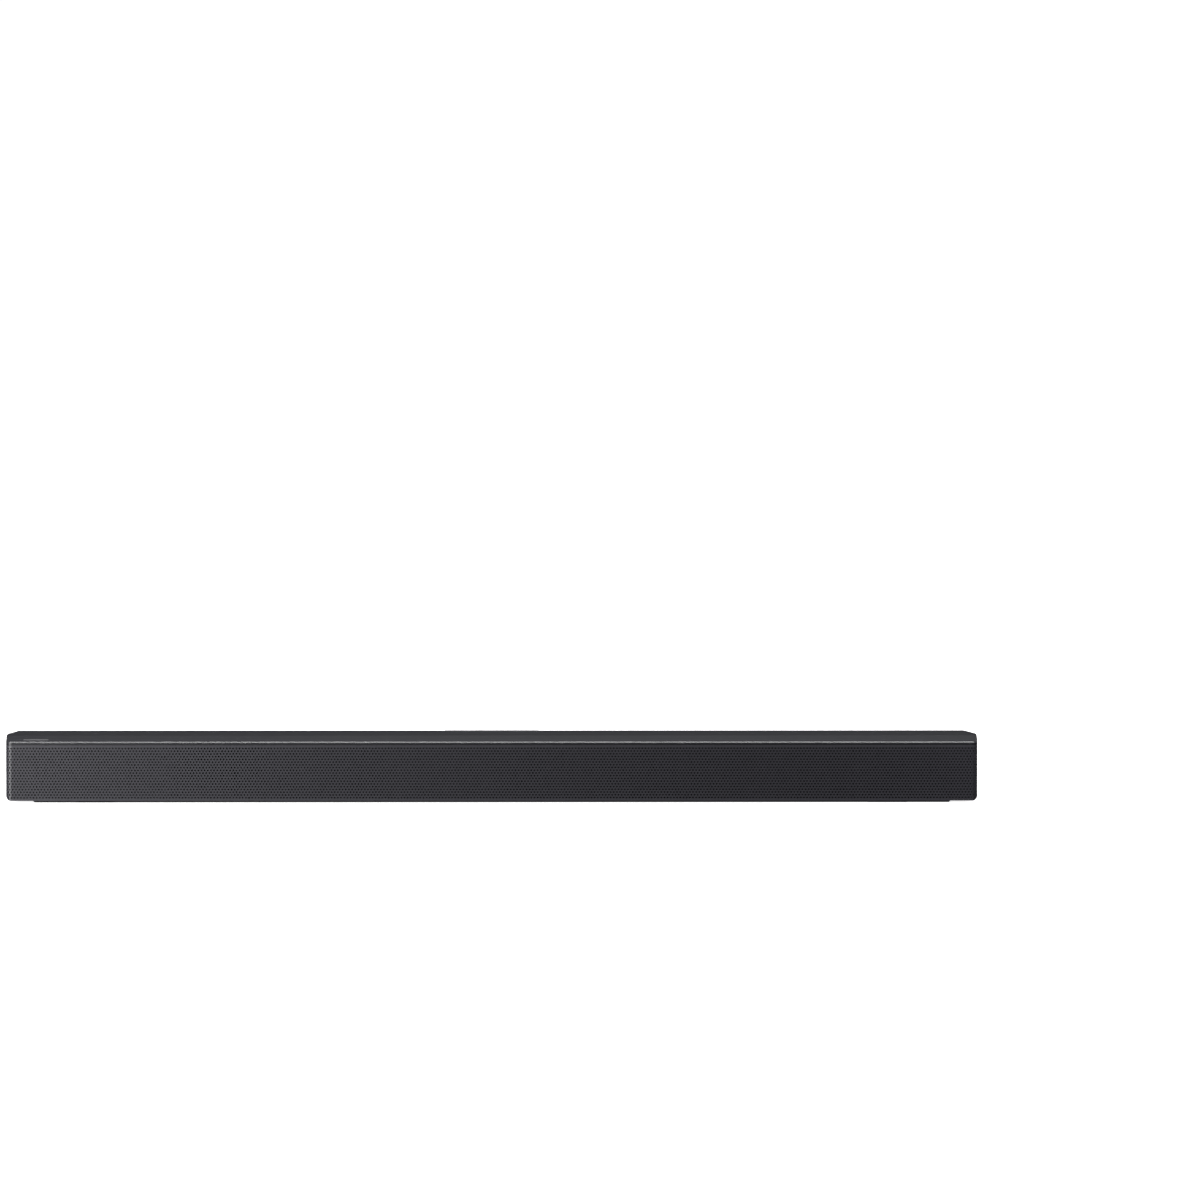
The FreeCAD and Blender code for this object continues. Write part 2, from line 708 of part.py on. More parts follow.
def make_bottom_case():
    """The cabinet tray: floor, walls, shadow-gap liner, posts, partitions and the rear window."""
    body = new_body("Case")
    liner = flat_sketch(body, "LinerOutline", CASE_BOTTOM)
    outline(liner, REBATE)
    base = pad(body, liner, SHELF_TOP - CASE_BOTTOM)
    base = soften(
        body,
        "Fillet",
        base,
        size.front_corner - REBATE,
        lambda edge: upright(edge) and near(edge.BoundBox.YMin, FRONT + REBATE),
    )
    shell = flat_sketch(body, "RearOutline", CASE_BOTTOM)
    outline(shell, as_size(0), front=MESH_END + size.seam)
    base = pad(body, shell, CABINET_TOP - CASE_BOTTOM)
    base = soften(
        body,
        "Fillet",
        base,
        size.side_corner,
        lambda edge: upright(edge)
        and near(edge.BoundBox.YMin, TURN_Y)
        and near(abs(edge.BoundBox.XMin), HALF),
    )
    base = soften(
        body,
        "Fillet",
        base,
        size.rear_corner,
        lambda edge: upright(edge) and near(edge.BoundBox.YMin, REAR),
    )
    rim = flat_sketch(body, "RimOutline", SHELF_TOP - SPARE)
    outline(rim, size.lid_wall + size.rim_clearance)
    pad(body, rim, size.rim_height + SPARE)
    hollow = flat_sketch(body, "Hollow", FLOOR_TOP)
    outline(hollow, INNER)
    pocket(body, hollow, reverse=True)
    opening = flat_sketch(body, "FrontOpening", FLOOR_TOP)
    rectangle(opening, -HALF - SPARE, HALF + SPARE, FRONT - SPARE, BAFFLE_REAR)
    pocket(body, opening, reverse=True)
    lower_end_round(body, "CaseEndRound")

    window = front_sketch(body, "BayWindow", REAR + SPARE)
    gap = 2 * size.bay_wall + 2 * size.bay_clearance
    centred(window, as_size(0), BAY_MIDDLE, size.bay_length + gap, size.bay_height + gap)
    pocket(body, window, INNER + 2 * SPARE, reverse=True)

    partitions = flat_sketch(body, "Partitions", FLOOR_TOP - SPARE)
    wall_back = REAR - INNER + SPARE
    for side in SIDES.values():
        middle = (BAFFLE_REAR + wall_back) / 2
        depth = wall_back - BAFFLE_REAR
        centred(partitions, side * PARTITION_X, middle, size.partition_thickness, depth)
    pad(body, partitions, SHELF_TOP - FLOOR_TOP + SPARE)
    posts = flat_sketch(body, "Posts", FLOOR_TOP - SPARE)
    for x in post_places():
        circle(posts, x, POST_Y, size.post_radius)
    pad(body, posts, POST_TOP - FLOOR_TOP + SPARE)
    bores = flat_sketch(body, "ScrewBores", CASE_BOTTOM)
    for x in post_places():
        circle(bores, x, POST_Y, size.screw_head_radius + size.counterbore_clearance)
    pocket(body, bores, POST_TOP - size.post_web - CASE_BOTTOM, reverse=True)
    holes = flat_sketch(body, "ScrewHoles", POST_TOP)
    for x in post_places():
        circle(holes, x, POST_Y, size.screw_radius + size.screw_clearance)
    pocket(body, holes, size.post_web + SPARE)

    bosses = front_sketch(body, "WallBosses", REAR - size.insert_length - size.insert_backing)
    inserts = front_sketch(body, "InsertHoles", REAR)
    for side in SIDES.values():
        x = side * size.wall_fixing_spacing / 2
        circle(bosses, x, size.wall_fixing_height, size.insert_radius + size.case_wall)
        circle(inserts, x, size.wall_fixing_height, size.insert_radius)
    pad(body, bosses, size.insert_length, reverse=True)
    pocket(body, inserts, size.insert_length, reverse=True)
    wires = side_sketch(body, "LeadHoles", -PARTITION_X - size.partition_thickness)
    circle(wires, (LEAD_START_Y + LEAD_END_Y) / 2, LEAD_Z, size.lead_hole_radius)
    pocket(body, wires, 2 * PARTITION_X + 2 * size.partition_thickness, reverse=True)
    node("bottom_case", body)


def make_connector_bay():
    """The pocket let into the rear wall: four walls, and a floor with the socket openings."""
    body = new_body("Bay")
    wall = size.bay_wall
    outside = front_sketch(body, "BayOutside", REAR)
    centred(outside, as_size(0), BAY_MIDDLE, size.bay_length + 2 * wall, size.bay_height + 2 * wall)
    pad(body, outside, REAR - BAY_FRONT)
    ears = front_sketch(body, "BayEars", REAR - INNER)
    reach = size.bay_length / 2 + wall + size.bay_ear / 2
    for side in SIDES.values():
        centred(ears, side * reach, BAY_MIDDLE, size.bay_ear, size.bay_height - size.bay_ear)
    pad(body, ears, wall)
    standoffs = front_sketch(body, "Standoffs", BOARD_REAR)
    for x, z in board_screw_places():
        circle(standoffs, x, z, size.standoff_radius)
    pad(body, standoffs, size.standoff + wall / 2, reverse=True)
    room = front_sketch(body, "BayRoom", REAR + SPARE)
    centred(room, as_size(0), BAY_MIDDLE, size.bay_length, size.bay_height)
    pocket(body, room, REAR + SPARE - BAY_FLOOR, reverse=True)
    openings = front_sketch(body, "SocketOpenings", BAY_FRONT - SPARE)
    gap = 2 * size.jack_clearance
    for name, place in jack_places().items():
        wide, high = JACKS[name]
        centred(openings, place, BAY_MIDDLE, as_size(wide) + gap, as_size(high) + gap)
    pocket(body, openings, wall + 2 * SPARE)
    pilots = front_sketch(body, "BoardPilots", BOARD_REAR)
    for x, z in board_screw_places():
        circle(pilots, x, z, size.screw_radius + size.screw_clearance)
    pocket(body, pilots, size.standoff)
    node("connector_bay", body)


def board_screw_places():
    """X and Z of the main board's four screws."""
    reach = size.bay_length / 2 - size.standoff_radius - size.board_margin
    rise = size.bay_height / 2 - size.standoff_radius
    return [(x, BAY_MIDDLE + z) for x in (-reach, reach) for z in (-rise, rise)]


def make_top_cover():
    """The moulded cover: flat at the back, sloped at the front, hollow underneath."""
    body = new_body("Cover")
    plan = flat_sketch(body, "CoverOutline", LID_BOTTOM)
    outline(plan, as_size(0))
    block = pad(body, plan, size.bar_height - LID_BOTTOM)
    base = soften(
        body,
        "Fillet",
        block,
        size.front_corner,
        lambda edge: upright(edge) and near(edge.BoundBox.YMin, FRONT),
    )
    base = soften(
        body,
        "Fillet",
        base,
        size.side_corner,
        lambda edge: upright(edge) and near(edge.BoundBox.YMin, TURN_Y),
    )
    base = soften(
        body,
        "Fillet",
        base,
        size.rear_corner,
        lambda edge: upright(edge) and near(edge.BoundBox.YMin, REAR),
    )
    slope = side_sketch(body, "SlopeCut")
    foot = FRONT - SPARE
    polygon(
        slope,
        [
            (foot, LID_SLOPE_FOOT - SPARE * LID_RATE),
            (FRONT + size.lid_slope_depth, size.bar_height),
            (FRONT + size.lid_slope_depth, size.bar_height + SPARE),
            (foot, size.bar_height + SPARE),
        ],
    )
    base = pocket(body, slope, both=True)
    base = soften(
        body,
        "Chamfer",
        base,
        size.lid_bevel,
        lambda edge: edge.BoundBox.ZMin > (LID_SLOPE_FOOT + size.front_corner * LID_RATE / 2).number
        and not upright(edge)
        and abs(edge.CenterOfMass.x) > (HALF - size.rear_taper - size.rear_corner).number,
    )
    hollow = flat_sketch(body, "CoverHollow", LID_BOTTOM)
    outline(hollow, size.lid_wall)
    pocket(body, hollow, LID_SLOPE_FOOT - LID_BOTTOM - size.lid_wall / 2, reverse=True)
    upper = side_sketch(body, "UpperHollow")
    inside = FRONT + size.lid_wall
    low = LID_SLOPE_FOOT - size.lid_wall / 2 - size.hollow_lap
    polygon(
        upper,
        [
            (inside, low),
            (REAR - size.lid_wall, low),
            (REAR - size.lid_wall, LID_CEILING),
            (FRONT + size.lid_slope_depth, LID_CEILING),
            (inside, LID_CEILING - (size.lid_slope_depth - size.lid_wall) * LID_RATE),
        ],
    )
    hollow_length = 2 * (HALF - size.rear_taper - size.lid_wall - size.hollow_end_margin)
    pocket(body, upper, hollow_length, both=True)
    seal = flat_sketch(body, "BaffleRib", SHELF_TOP + size.rim_clearance)
    rectangle(seal, -hollow_length / 2, hollow_length / 2, BAFFLE_FRONT, BAFFLE_REAR)
    pad(body, seal, LID_SLOPE_FOOT - SHELF_TOP)

    posts = flat_sketch(body, "Bosses", POST_TOP)
    for x in post_places():
        circle(posts, x, POST_Y, size.boss_radius)
    pad(body, posts, LID_CEILING - POST_TOP + size.lid_wall / 2)
    pilots = flat_sketch(body, "BossPilots", POST_TOP)
    for x in post_places():
        circle(pilots, x, POST_Y, size.screw_radius + size.screw_clearance)
    pocket(body, pilots, size.boss_hole_depth, reverse=True)
    legs = flat_sketch(body, "BoardLegs", BUTTON_BOARD_TOP)
    for x, y in button_board_screws():
        circle(legs, x, y, size.standoff_radius)
    pad(body, legs, size.button_board_drop + size.lid_wall / 2)
    leg_pilots = flat_sketch(body, "LegPilots", BUTTON_BOARD_TOP)
    for x, y in button_board_screws():
        circle(leg_pilots, x, y, size.screw_radius + size.screw_clearance)
    pocket(body, leg_pilots, size.button_board_drop, reverse=True)

    gap = 2 * size.strip_clearance
    seat = flat_sketch(body, "StripSeat", STRIP_BOTTOM)
    centred(seat, as_size(0), STRIP_Y, STRIP_LENGTH + gap, size.strip_width + gap)
    pocket(body, seat, reverse=True)
    wells = flat_sketch(body, "ButtonWells", LID_CEILING - SPARE)
    gap = 2 * size.button_clearance
    for place in button_places().values():
        centred(wells, place, STRIP_Y, size.button_length + gap, size.button_width + gap)
    pocket(body, wells, reverse=True)
    mark = flat_sketch(body, "InlaySeat", 0)
    mark.AttachmentOffset = FreeCAD.Placement(FreeCAD.Vector(), SLOPE_TURN)
    y, z = inlay_foot()
    bind(mark, "AttachmentOffset.Base.x", inlay_middle())
    bind(mark, "AttachmentOffset.Base.y", y)
    bind(mark, "AttachmentOffset.Base.z", z)
    centred(mark, as_size(0), as_size(0), size.inlay_length, size.inlay_width)
    pocket(body, mark, size.inlay_thickness - size.inlay_stand + SPARE, reverse=True)
    node("top_cover", body)

    inlay = doc.addObject("Part::Box", "Inlay")
    inlay.Placement = FreeCAD.Placement(FreeCAD.Vector(), SLOPE_TURN)
    bind(inlay, "Length", size.inlay_length)
    bind(inlay, "Width", size.inlay_width)
    bind(inlay, "Height", size.inlay_thickness)
    half_width = size.inlay_width / 2
    bind(inlay, "Placement.Base.x", inlay_middle() - size.inlay_length / 2)
    bind(inlay, "Placement.Base.y", y - half_width * SLOPE_COS)
    bind(inlay, "Placement.Base.z", z - half_width * SLOPE_SIN)
    node("top_inlay", inlay)


def inlay_middle():
    """X of the middle of the inlay in the cover's left corner."""
    return -(HALF - size.inlay_from_end - size.inlay_length / 2)


def inlay_foot():
    """Y and Z of the middle of the inlay's underside, below the sloped facet."""
    depth = size.inlay_thickness - size.inlay_stand
    y = FRONT + size.inlay_up_slope * SLOPE_COS + depth * SLOPE_SIN
    z = LID_SLOPE_FOOT + size.inlay_up_slope * SLOPE_SIN - depth * SLOPE_COS
    return y, z


def button_places():
    """X of each button by name, from left to right."""
    names = ["button_source", "button_volume_down", "button_volume_up", "button_power"]
    first = (BUTTON_COUNT - 1) / 2
    return {name: (step - first) * size.button_pitch for step, name in enumerate(names)}


def button_board_screws():
    """X and Y of the button board's three screws."""
    y = STRIP_Y - size.switch_size / 2 - size.standoff_radius - size.switch_to_leg
    return [(x * (BUTTON_BOARD_LENGTH / 2 - size.button_board_screw_inset), y) for x in (-1, 0, 1)]


def make_controls():
    """The control strip, its four push buttons, and the switch board under them."""
    body = new_body("Strip")
    sketch = flat_sketch(body, "StripOutline", STRIP_BOTTOM)
    centred(sketch, as_size(0), STRIP_Y, STRIP_LENGTH, size.strip_width)
    pad(body, sketch, size.strip_thickness)
    wells = flat_sketch(body, "StripWells", STRIP_BOTTOM)
    gap = 2 * size.button_clearance
    for place in button_places().values():
        centred(wells, place, STRIP_Y, size.button_length + gap, size.button_width + gap)
    cuts = pocket(body, wells, reverse=True)
    last_well = (STRIP_LENGTH / 2 - size.strip_end / 2).number
    soften(
        body,
        "Fillet",
        cuts,
        size.button_corner,
        lambda edge: upright(edge) and abs(edge.BoundBox.XMin) < last_well,
    )
    node("control_strip", body)

    top = size.bar_height + size.strip_stand + size.button_stand
    collar_top = LID_CEILING - size.collar_gap
    collar_low = collar_top - size.collar_thickness
    stem_low = BUTTON_BOARD_TOP + size.switch_height + size.button_travel + size.switch_gap
    for name, place in button_places().items():
        body = new_body(name.title().replace("_", ""))
        face = flat_sketch(body, name + "Face", collar_top)
        centred(face, place, STRIP_Y, size.button_length, size.button_width)
        cap = pad(body, face, top - collar_top)
        soften(body, "Fillet", cap, size.button_corner, upright)
        collar = flat_sketch(body, name + "Collar", collar_low)
        hang = 2 * size.collar_overhang
        centred(collar, place, STRIP_Y, size.button_length + hang, size.button_width + hang)
        pad(body, collar, size.collar_thickness)
        stem = flat_sketch(body, name + "Stem", stem_low)
        circle(stem, place, STRIP_Y, size.switch_size / 3)
        pad(body, stem, collar_low - stem_low)
        node(name, body)

    half = BUTTON_BOARD_LENGTH / 2
    low = BUTTON_BOARD_TOP - size.board_thickness
    back = REAR - INNER - size.button_board_clearance
    front = button_board_screws()[0][1] - size.standoff_radius
    board = box("ButtonBoardBlank", -half, half, front, back, low, BUTTON_BOARD_TOP)
    hole_radius = size.screw_radius + size.screw_clearance
    hole_length = size.board_thickness + 2 * SPARE
    holes = [
        rod(f"ButtonBoardHole{step}", ALONG_Z, x, y, low - SPARE, hole_radius, hole_length)
        for step, (x, y) in enumerate(button_board_screws())
    ]
    node("button_board", cut("ButtonBoard", board, holes))
    switches = []
    reach = size.switch_size / 2
    plunger_low = BUTTON_BOARD_TOP + size.switch_height * size.switch_body
    plunger_height = size.switch_height * (1 - size.switch_body)
    for name, place in button_places().items():
        shell = box(
            name + "Switch",
            place - reach,
            place + reach,
            STRIP_Y - reach,
            STRIP_Y + reach,
            BUTTON_BOARD_TOP,
            plunger_low,
        )
        radius = size.switch_size / 4
        plunger = rod(name + "Plunger", ALONG_Z, place, STRIP_Y, plunger_low, radius, plunger_height)
        switches.append(fuse(name + "TactSwitch", [shell, plunger]))
    node("tact_switches", group("TactSwitches", switches))


def make_grille():
    """The bent mesh, the cloth behind it and the moulded frame that plugs into the baffle."""
    body = new_body("Mesh")
    plan = flat_sketch(body, "MeshOutline", CASE_BOTTOM)
    thick = size.mesh_thickness
    polygon(
        plan,
        [
            (-HALF, MESH_END),
            (-HALF, FRONT),
            (HALF, FRONT),
            (HALF, MESH_END),
            (HALF - thick, MESH_END),
            (HALF - thick, FRONT + thick),
            (-HALF + thick, FRONT + thick),
            (-HALF + thick, MESH_END),
        ],
    )
    base = pad(body, plan, CABINET_TOP - CASE_BOTTOM)
    base = soften(
        body,
        "Fillet",
        base,
        size.front_corner,
        lambda edge: upright(edge) and near(edge.BoundBox.YMin, FRONT),
    )
    soften(
        body,
        "Fillet",
        base,
        size.front_corner - thick,
        lambda edge: upright(edge) and near(edge.BoundBox.YMin, FRONT + thick),
    )
    lower_end_round(body, "MeshEndRound")
    node("grille_mesh", body)

    reach = HALF - size.front_corner
    low = CASE_BOTTOM + size.cloth_margin
    high = CABINET_TOP - size.cloth_margin
    cloth = box("Cloth", -reach, reach, CLOTH_FRONT, FRAME_FRONT, low, high)
    node("dust_cloth", cloth)

    body = new_body("Frame")
    low = FLOOR_TOP + size.frame_floor_gap
    plan = flat_sketch(body, "FrameOutline", low)
    outside = HALF - REBATE
    inside = outside - size.frame_thickness
    end = BAFFLE_FRONT - size.frame_baffle_gap
    polygon(
        plan,
        [
            (-outside, end),
            (-outside, FRAME_FRONT),
            (outside, FRAME_FRONT),
            (outside, end),
            (inside, end),
            (inside, FRAME_REAR),
            (-inside, FRAME_REAR),
            (-inside, end),
        ],
    )
    base = pad(body, plan, SHELF_TOP - low)
    base = soften(
        body,
        "Fillet",
        base,
        size.front_corner - REBATE,
        lambda edge: upright(edge) and near(edge.BoundBox.YMin, FRAME_FRONT),
    )
    soften(
        body,
        "Fillet",
        base,
        size.front_corner - REBATE - size.frame_thickness,
        lambda edge: upright(edge) and near(edge.BoundBox.YMin, FRAME_REAR),
    )
    windows = front_sketch(body, "FrameWindows", FRAME_FRONT - SPARE)
    rail = size.frame_rail
    height = SHELF_TOP - low - 2 * rail
    for x in frame_window_places():
        centred(windows, x, (SHELF_TOP + low) / 2, size.frame_window_length, height)
    pocket(body, windows, size.frame_thickness + 2 * SPARE)
    lower_end_round(body, "FrameEndRound")
    pegs = front_sketch(body, "Pegs", BAFFLE_REAR)
    for x, z in peg_places():
        circle(pegs, x, z, size.peg_radius)
    pad(body, pegs, BAFFLE_REAR - FRAME_REAR + size.frame_thickness / 2)
    node("grille_frame", body)


def frame_window_places():
    """X of the frame's windows, evenly spaced about the middle, as many as the bar's length holds."""
    room = HALF - size.frame_end_margin - size.frame_window_length / 2
    count = int(room.number // size.frame_window_pitch.number)
    return [step * size.frame_window_pitch for step in range(-count, count + 1)]


def peg_places():
    """X and Z of the frame's pegs, on the ribs between windows and clear of every driver."""
    spots = []
    for factor in (-0.5, 0.5):
        for x in (factor * size.frame_window_pitch, 5 * factor * size.frame_window_pitch):
            spots += [(x, DRIVER_Z - size.peg_from_middle), (x, DRIVER_Z + size.peg_from_middle)]
    return spots


def make_baffle():
    """The board that carries the drivers, standing on the case floor ahead of the partitions."""
    body = new_body("Baffle")
    reach = HALF - REBATE - size.baffle_clearance
    plan = flat_sketch(body, "BaffleFoot", FLOOR_TOP)
    rectangle(plan, -reach, reach, BAFFLE_FRONT, BAFFLE_REAR)
    pad(body, plan, SHELF_TOP - FLOOR_TOP)
    lower_end_round(body, "BaffleEndRound")
    holes = front_sketch(body, "BaffleHoles", BAFFLE_FRONT - SPARE)
    gap = size.cutout_clearance
    for side in SIDES.values():
        shell = 2 * (size.basket_wall + gap)
        racetrack(holes, side * WOOFER_X, DRIVER_Z, OPENING_LENGTH + shell, OPENING_HEIGHT + shell)
        circle(holes, side * TWEETER_X, DRIVER_Z, size.tweeter_motor_radius + gap)
    for x, z in peg_places():
        circle(holes, x, z, size.peg_radius + size.peg_clearance)
    for x, z in driver_screw_places():
        circle(holes, x, z, size.driver_screw_radius + size.screw_clearance)
    pocket(body, holes, size.baffle_thickness + 2 * SPARE)
    node("front_baffle", body)


def woofer_screw_places(middle):
    """X and Z of the four screws of a woofer whose middle is at middle."""
    x = size.woofer_length / 2 - size.driver_screw_inset
    z = WOOFER_HEIGHT / 2 - size.driver_screw_inset
    return [(middle + sx * x, DRIVER_Z + sz * z) for sx in (-1, 1) for sz in (-1, 1)]


def tweeter_screw_places(middle):
    """X and Z of the two screws of a tweeter, one on each side."""
    reach = (size.tweeter_radius + size.tweeter_motor_radius) / 2
    return [(middle - reach, DRIVER_Z), (middle + reach, DRIVER_Z)]


def driver_screw_places():
    """X and Z of every driver screw."""
    spots = []
    for side in SIDES.values():
        spots += woofer_screw_places(side * WOOFER_X) + tweeter_screw_places(side * TWEETER_X)
    return spots


def make_woofer(side_name, side):
    """One racetrack driver: basket, motor, spider, coil, cone, dust cap and surround."""
    x = side * WOOFER_X
    z = DRIVER_Z
    tag = side_name.title()
    wall = 2 * size.basket_wall

    body = new_body("Basket" + tag)
    flange = front_sketch(body, "Flange" + tag, BAFFLE_FRONT)
    centred(flange, x, z, size.woofer_length, WOOFER_HEIGHT)
    block = pad(body, flange, size.flange_thickness)
    soften(
        body,
        "Fillet",
        block,
        size.flange_corner,
        lambda edge: edge.BoundBox.XLength < 1e-6 and edge.BoundBox.ZLength < 1e-6,
    )
    can = front_sketch(body, "Can" + tag, BASKET_REAR)
    racetrack(can, x, z, OPENING_LENGTH + wall, OPENING_HEIGHT + wall)
    pad(body, can, BASKET_REAR - BAFFLE_FRONT)
    room = front_sketch(body, "BasketRoom" + tag, FLANGE_FRONT)
    racetrack(room, x, z, OPENING_LENGTH, OPENING_HEIGHT)
    pocket(body, room, BASKET_BACK - FLANGE_FRONT)
    seat = front_sketch(body, "SpiderSeat" + tag, BASKET_REAR)
    circle(seat, x, z, size.magnet_radius)
    pad(body, seat, size.basket_wall + size.spider_rest)
    bore_start = BASKET_BACK - size.spider_rest - SPARE
    bore = front_sketch(body, "CoilBore" + tag, bore_start)
    circle(bore, x, z, size.magnet_radius - size.seat_ledge)
    pocket(body, bore, BASKET_REAR - bore_start + SPARE)
    vents = front_sketch(body, "Vents" + tag, BASKET_BACK - SPARE)
    reach = (OPENING_LENGTH + 2 * size.magnet_radius) / 4
    vent_length = OPENING_LENGTH / 2 - size.magnet_radius - size.vent_margin
    for way in (-1, 1):
        racetrack(vents, x + way * reach, z, vent_length, VENT_PROPORTION * vent_length)
    pocket(body, vents, size.basket_wall + 2 * SPARE)
    screws = front_sketch(body, "FlangeHoles" + tag, FLANGE_FRONT - SPARE)
    for sx, sz in woofer_screw_places(x):
        circle(screws, sx, sz, size.driver_screw_radius + size.screw_clearance)
    pocket(body, screws, size.flange_thickness + 2 * SPARE)
    node("woofer_basket_" + side_name, body)

    disc = size.magnet_radius
    thick = size.plate_thickness
    coil_bore = size.coil_radius + size.winding + size.coil_gap
    top_plate = washer("TopPlate" + tag, ALONG_Y, (x, BASKET_REAR, z), disc, coil_bore, thick)
    magnet_front = BASKET_REAR + thick
    magnet_rear = magnet_front + size.magnet_length
    back_plate = rod("BackPlate" + tag, ALONG_Y, x, magnet_rear, z, disc, thick)
    pole_radius = size.coil_radius - size.former_wall - size.coil_gap
    pole_length = magnet_rear - BASKET_REAR + SPARE
    pole = rod("Pole" + tag, ALONG_Y, x, BASKET_REAR, z, pole_radius, pole_length)
    yoke = fuse("Yoke" + tag, [back_plate, pole])
    node("woofer_plates_" + side_name, group("Plates" + tag, [top_plate, yoke]))
    start = (x, magnet_front, z)
    magnet = washer("Magnet" + tag, ALONG_Y, start, disc, size.magnet_bore, size.magnet_length)
    node("woofer_magnet_" + side_name, magnet)

    start = (x, BASKET_BACK - size.spider_rest - size.spider_thickness, z)
    rim = size.magnet_radius - size.spider_clearance
    neck = size.coil_radius + size.spider_clearance / 2
    spider = washer("Spider" + tag, ALONG_Y, start, rim, neck, size.spider_thickness)
    node("woofer_spider_" + side_name, spider)

    outer = size.coil_radius
    tube = rod("FormerTube" + tag, ALONG_Y, x, CONE_REAR, z, outer, size.coil_length)
    wire_front = COIL_REAR - size.winding_length
    outer = size.coil_radius + size.winding
    wire = rod("Winding" + tag, ALONG_Y, x, wire_front, z, outer, size.winding_length)
    inner = size.coil_radius - size.former_wall
    length = size.coil_length + 2 * SPARE
    hole = rod("FormerBore" + tag, ALONG_Y, x, CONE_REAR - SPARE, z, inner, length)
    former = fuse("Former" + tag, [tube, wire])
    node("woofer_coil_" + side_name, cut("Coil" + tag, former, [hole]))

    body = new_body("Cone" + tag)
    neck = 2 * (size.coil_radius + size.neck_margin)
    neck_length = neck + size.neck_flat
    mouth = front_sketch(body, "ConeMouth" + tag, CONE_FRONT)
    racetrack(mouth, x, z, CONE_LENGTH, CONE_HEIGHT)
    throat = front_sketch(body, "ConeThroat" + tag, CONE_REAR)
    racetrack(throat, x, z, neck_length, neck)
    shell = body.newObject("PartDesign::AdditiveLoft", "ConeShell" + tag)
    shell.Profile = mouth
    shell.Sections = [throat]
    shell.Ruled = True
    inset = 2 * size.cone_wall
    inner_mouth = front_sketch(body, "ConeInnerMouth" + tag, CONE_FRONT)
    racetrack(inner_mouth, x, z, CONE_LENGTH - inset, CONE_HEIGHT - inset)
    inner_throat = front_sketch(body, "ConeInnerThroat" + tag, CONE_REAR)
    racetrack(inner_throat, x, z, neck_length - 2 * inset, neck - 2 * inset)
    room = body.newObject("PartDesign::SubtractiveLoft", "ConeRoom" + tag)
    room.Profile = inner_mouth
    room.Sections = [inner_throat]
    room.Ruled = True
    node("woofer_cone_" + side_name, body)

    cap_base = CONE_REAR - size.cap_inset
    cap = dome("Cap" + tag, x, cap_base, z, size.coil_radius, size.cap_height, size.former_wall)
    node("woofer_dust_cap_" + side_name, cap)

    body = new_body("Surround" + tag)
    path = front_sketch(body, "SurroundPath" + tag, CONE_FRONT)
    middle_length = CONE_LENGTH + size.surround_width
    middle_height = CONE_HEIGHT + size.surround_width
    racetrack(path, x, z, middle_length, middle_height)
    roll = side_sketch(body, "SurroundRoll" + tag, x)
    half_ring(roll, CONE_FRONT, z + middle_height / 2, size.surround_width / 2, size.surround_thickness)
    doc.recompute()
    pipe = body.newObject("PartDesign::AdditivePipe", "SurroundPipe" + tag)
    pipe.Profile = roll
    pipe.Spine = (path, [f"Edge{number}" for number in range(1, 5)])
    node("woofer_surround_" + side_name, body)


def half_ring(sketch, y, z, radius, thickness):
    """Section of a half-round roll that bulges towards -Y, in a plane across the bar."""
    y, z = as_size(y), as_size(z)
    up = FreeCAD.Vector(0, 0, 1)
    middle = FreeCAD.Vector(y.number, z.number, 0)
    inner = radius - thickness
    span = (math.pi / 2, 1.5 * math.pi)
    big = sketch.addGeometry(Part.ArcOfCircle(Part.Circle(middle, up, radius.number), *span))
    small = sketch.addGeometry(Part.ArcOfCircle(Part.Circle(middle, up, inner.number), *span))
    outside = FreeCAD.Vector(0, radius.number, 0)
    inside = FreeCAD.Vector(0, inner.number, 0)
    foot = sketch.addGeometry(Part.LineSegment(middle - outside, middle - inside))
    head = sketch.addGeometry(Part.LineSegment(middle + inside, middle + outside))
    joints = [(big, 2, foot, 1), (foot, 2, small, 2), (small, 1, head, 1), (head, 2, big, 1)]
    for one, end, other, start in joints:
        sketch.addConstraint(Sketcher.Constraint("Coincident", one, end, other, start))
    sketch.addConstraint(Sketcher.Constraint("Coincident", big, 3, small, 3))
    hold(sketch, "DistanceX", -1, 1, big, 3, y)
    hold(sketch, "DistanceY", -1, 1, big, 3, z)
    hold(sketch, "Radius", big, radius)
    hold(sketch, "Radius", small, inner)
    for line in (foot, head):
        sketch.addConstraint(Sketcher.Constraint("Vertical", line))
    hold(sketch, "DistanceX", -1, 1, foot, 1, y)
    hold(sketch, "DistanceX", -1, 1, head, 1, y)


def ball(name, x, y, z, radius):
    sphere = doc.addObject("Part::Sphere", name)
    bind(sphere, "Radius", radius)
    bind(sphere, "Placement.Base.x", x)
    bind(sphere, "Placement.Base.y", y)
    bind(sphere, "Placement.Base.z", z)
    return sphere


def dome(name, x, base, z, radius, height, wall):
    """A thin shallow dome that rises towards -Y from a plane at base."""
    radius, height = as_size(radius), as_size(height)
    bulge = (radius * radius + height * height) / (2 * height)
    centre = base + bulge - height
    outside = ball(name + "Outside", x, centre, z, bulge)
    inside = ball(name + "Inside", x, centre, z, bulge - wall)
    start = base - height - SPARE
    keep = rod(name + "Keep", ALONG_Y, x, start, z, radius + SPARE, height + SPARE)
    shell = cut(name + "Shell", outside, [inside])
    part = doc.addObject("Part::MultiCommon", name)
    part.Shapes = [shell, keep]
    return part


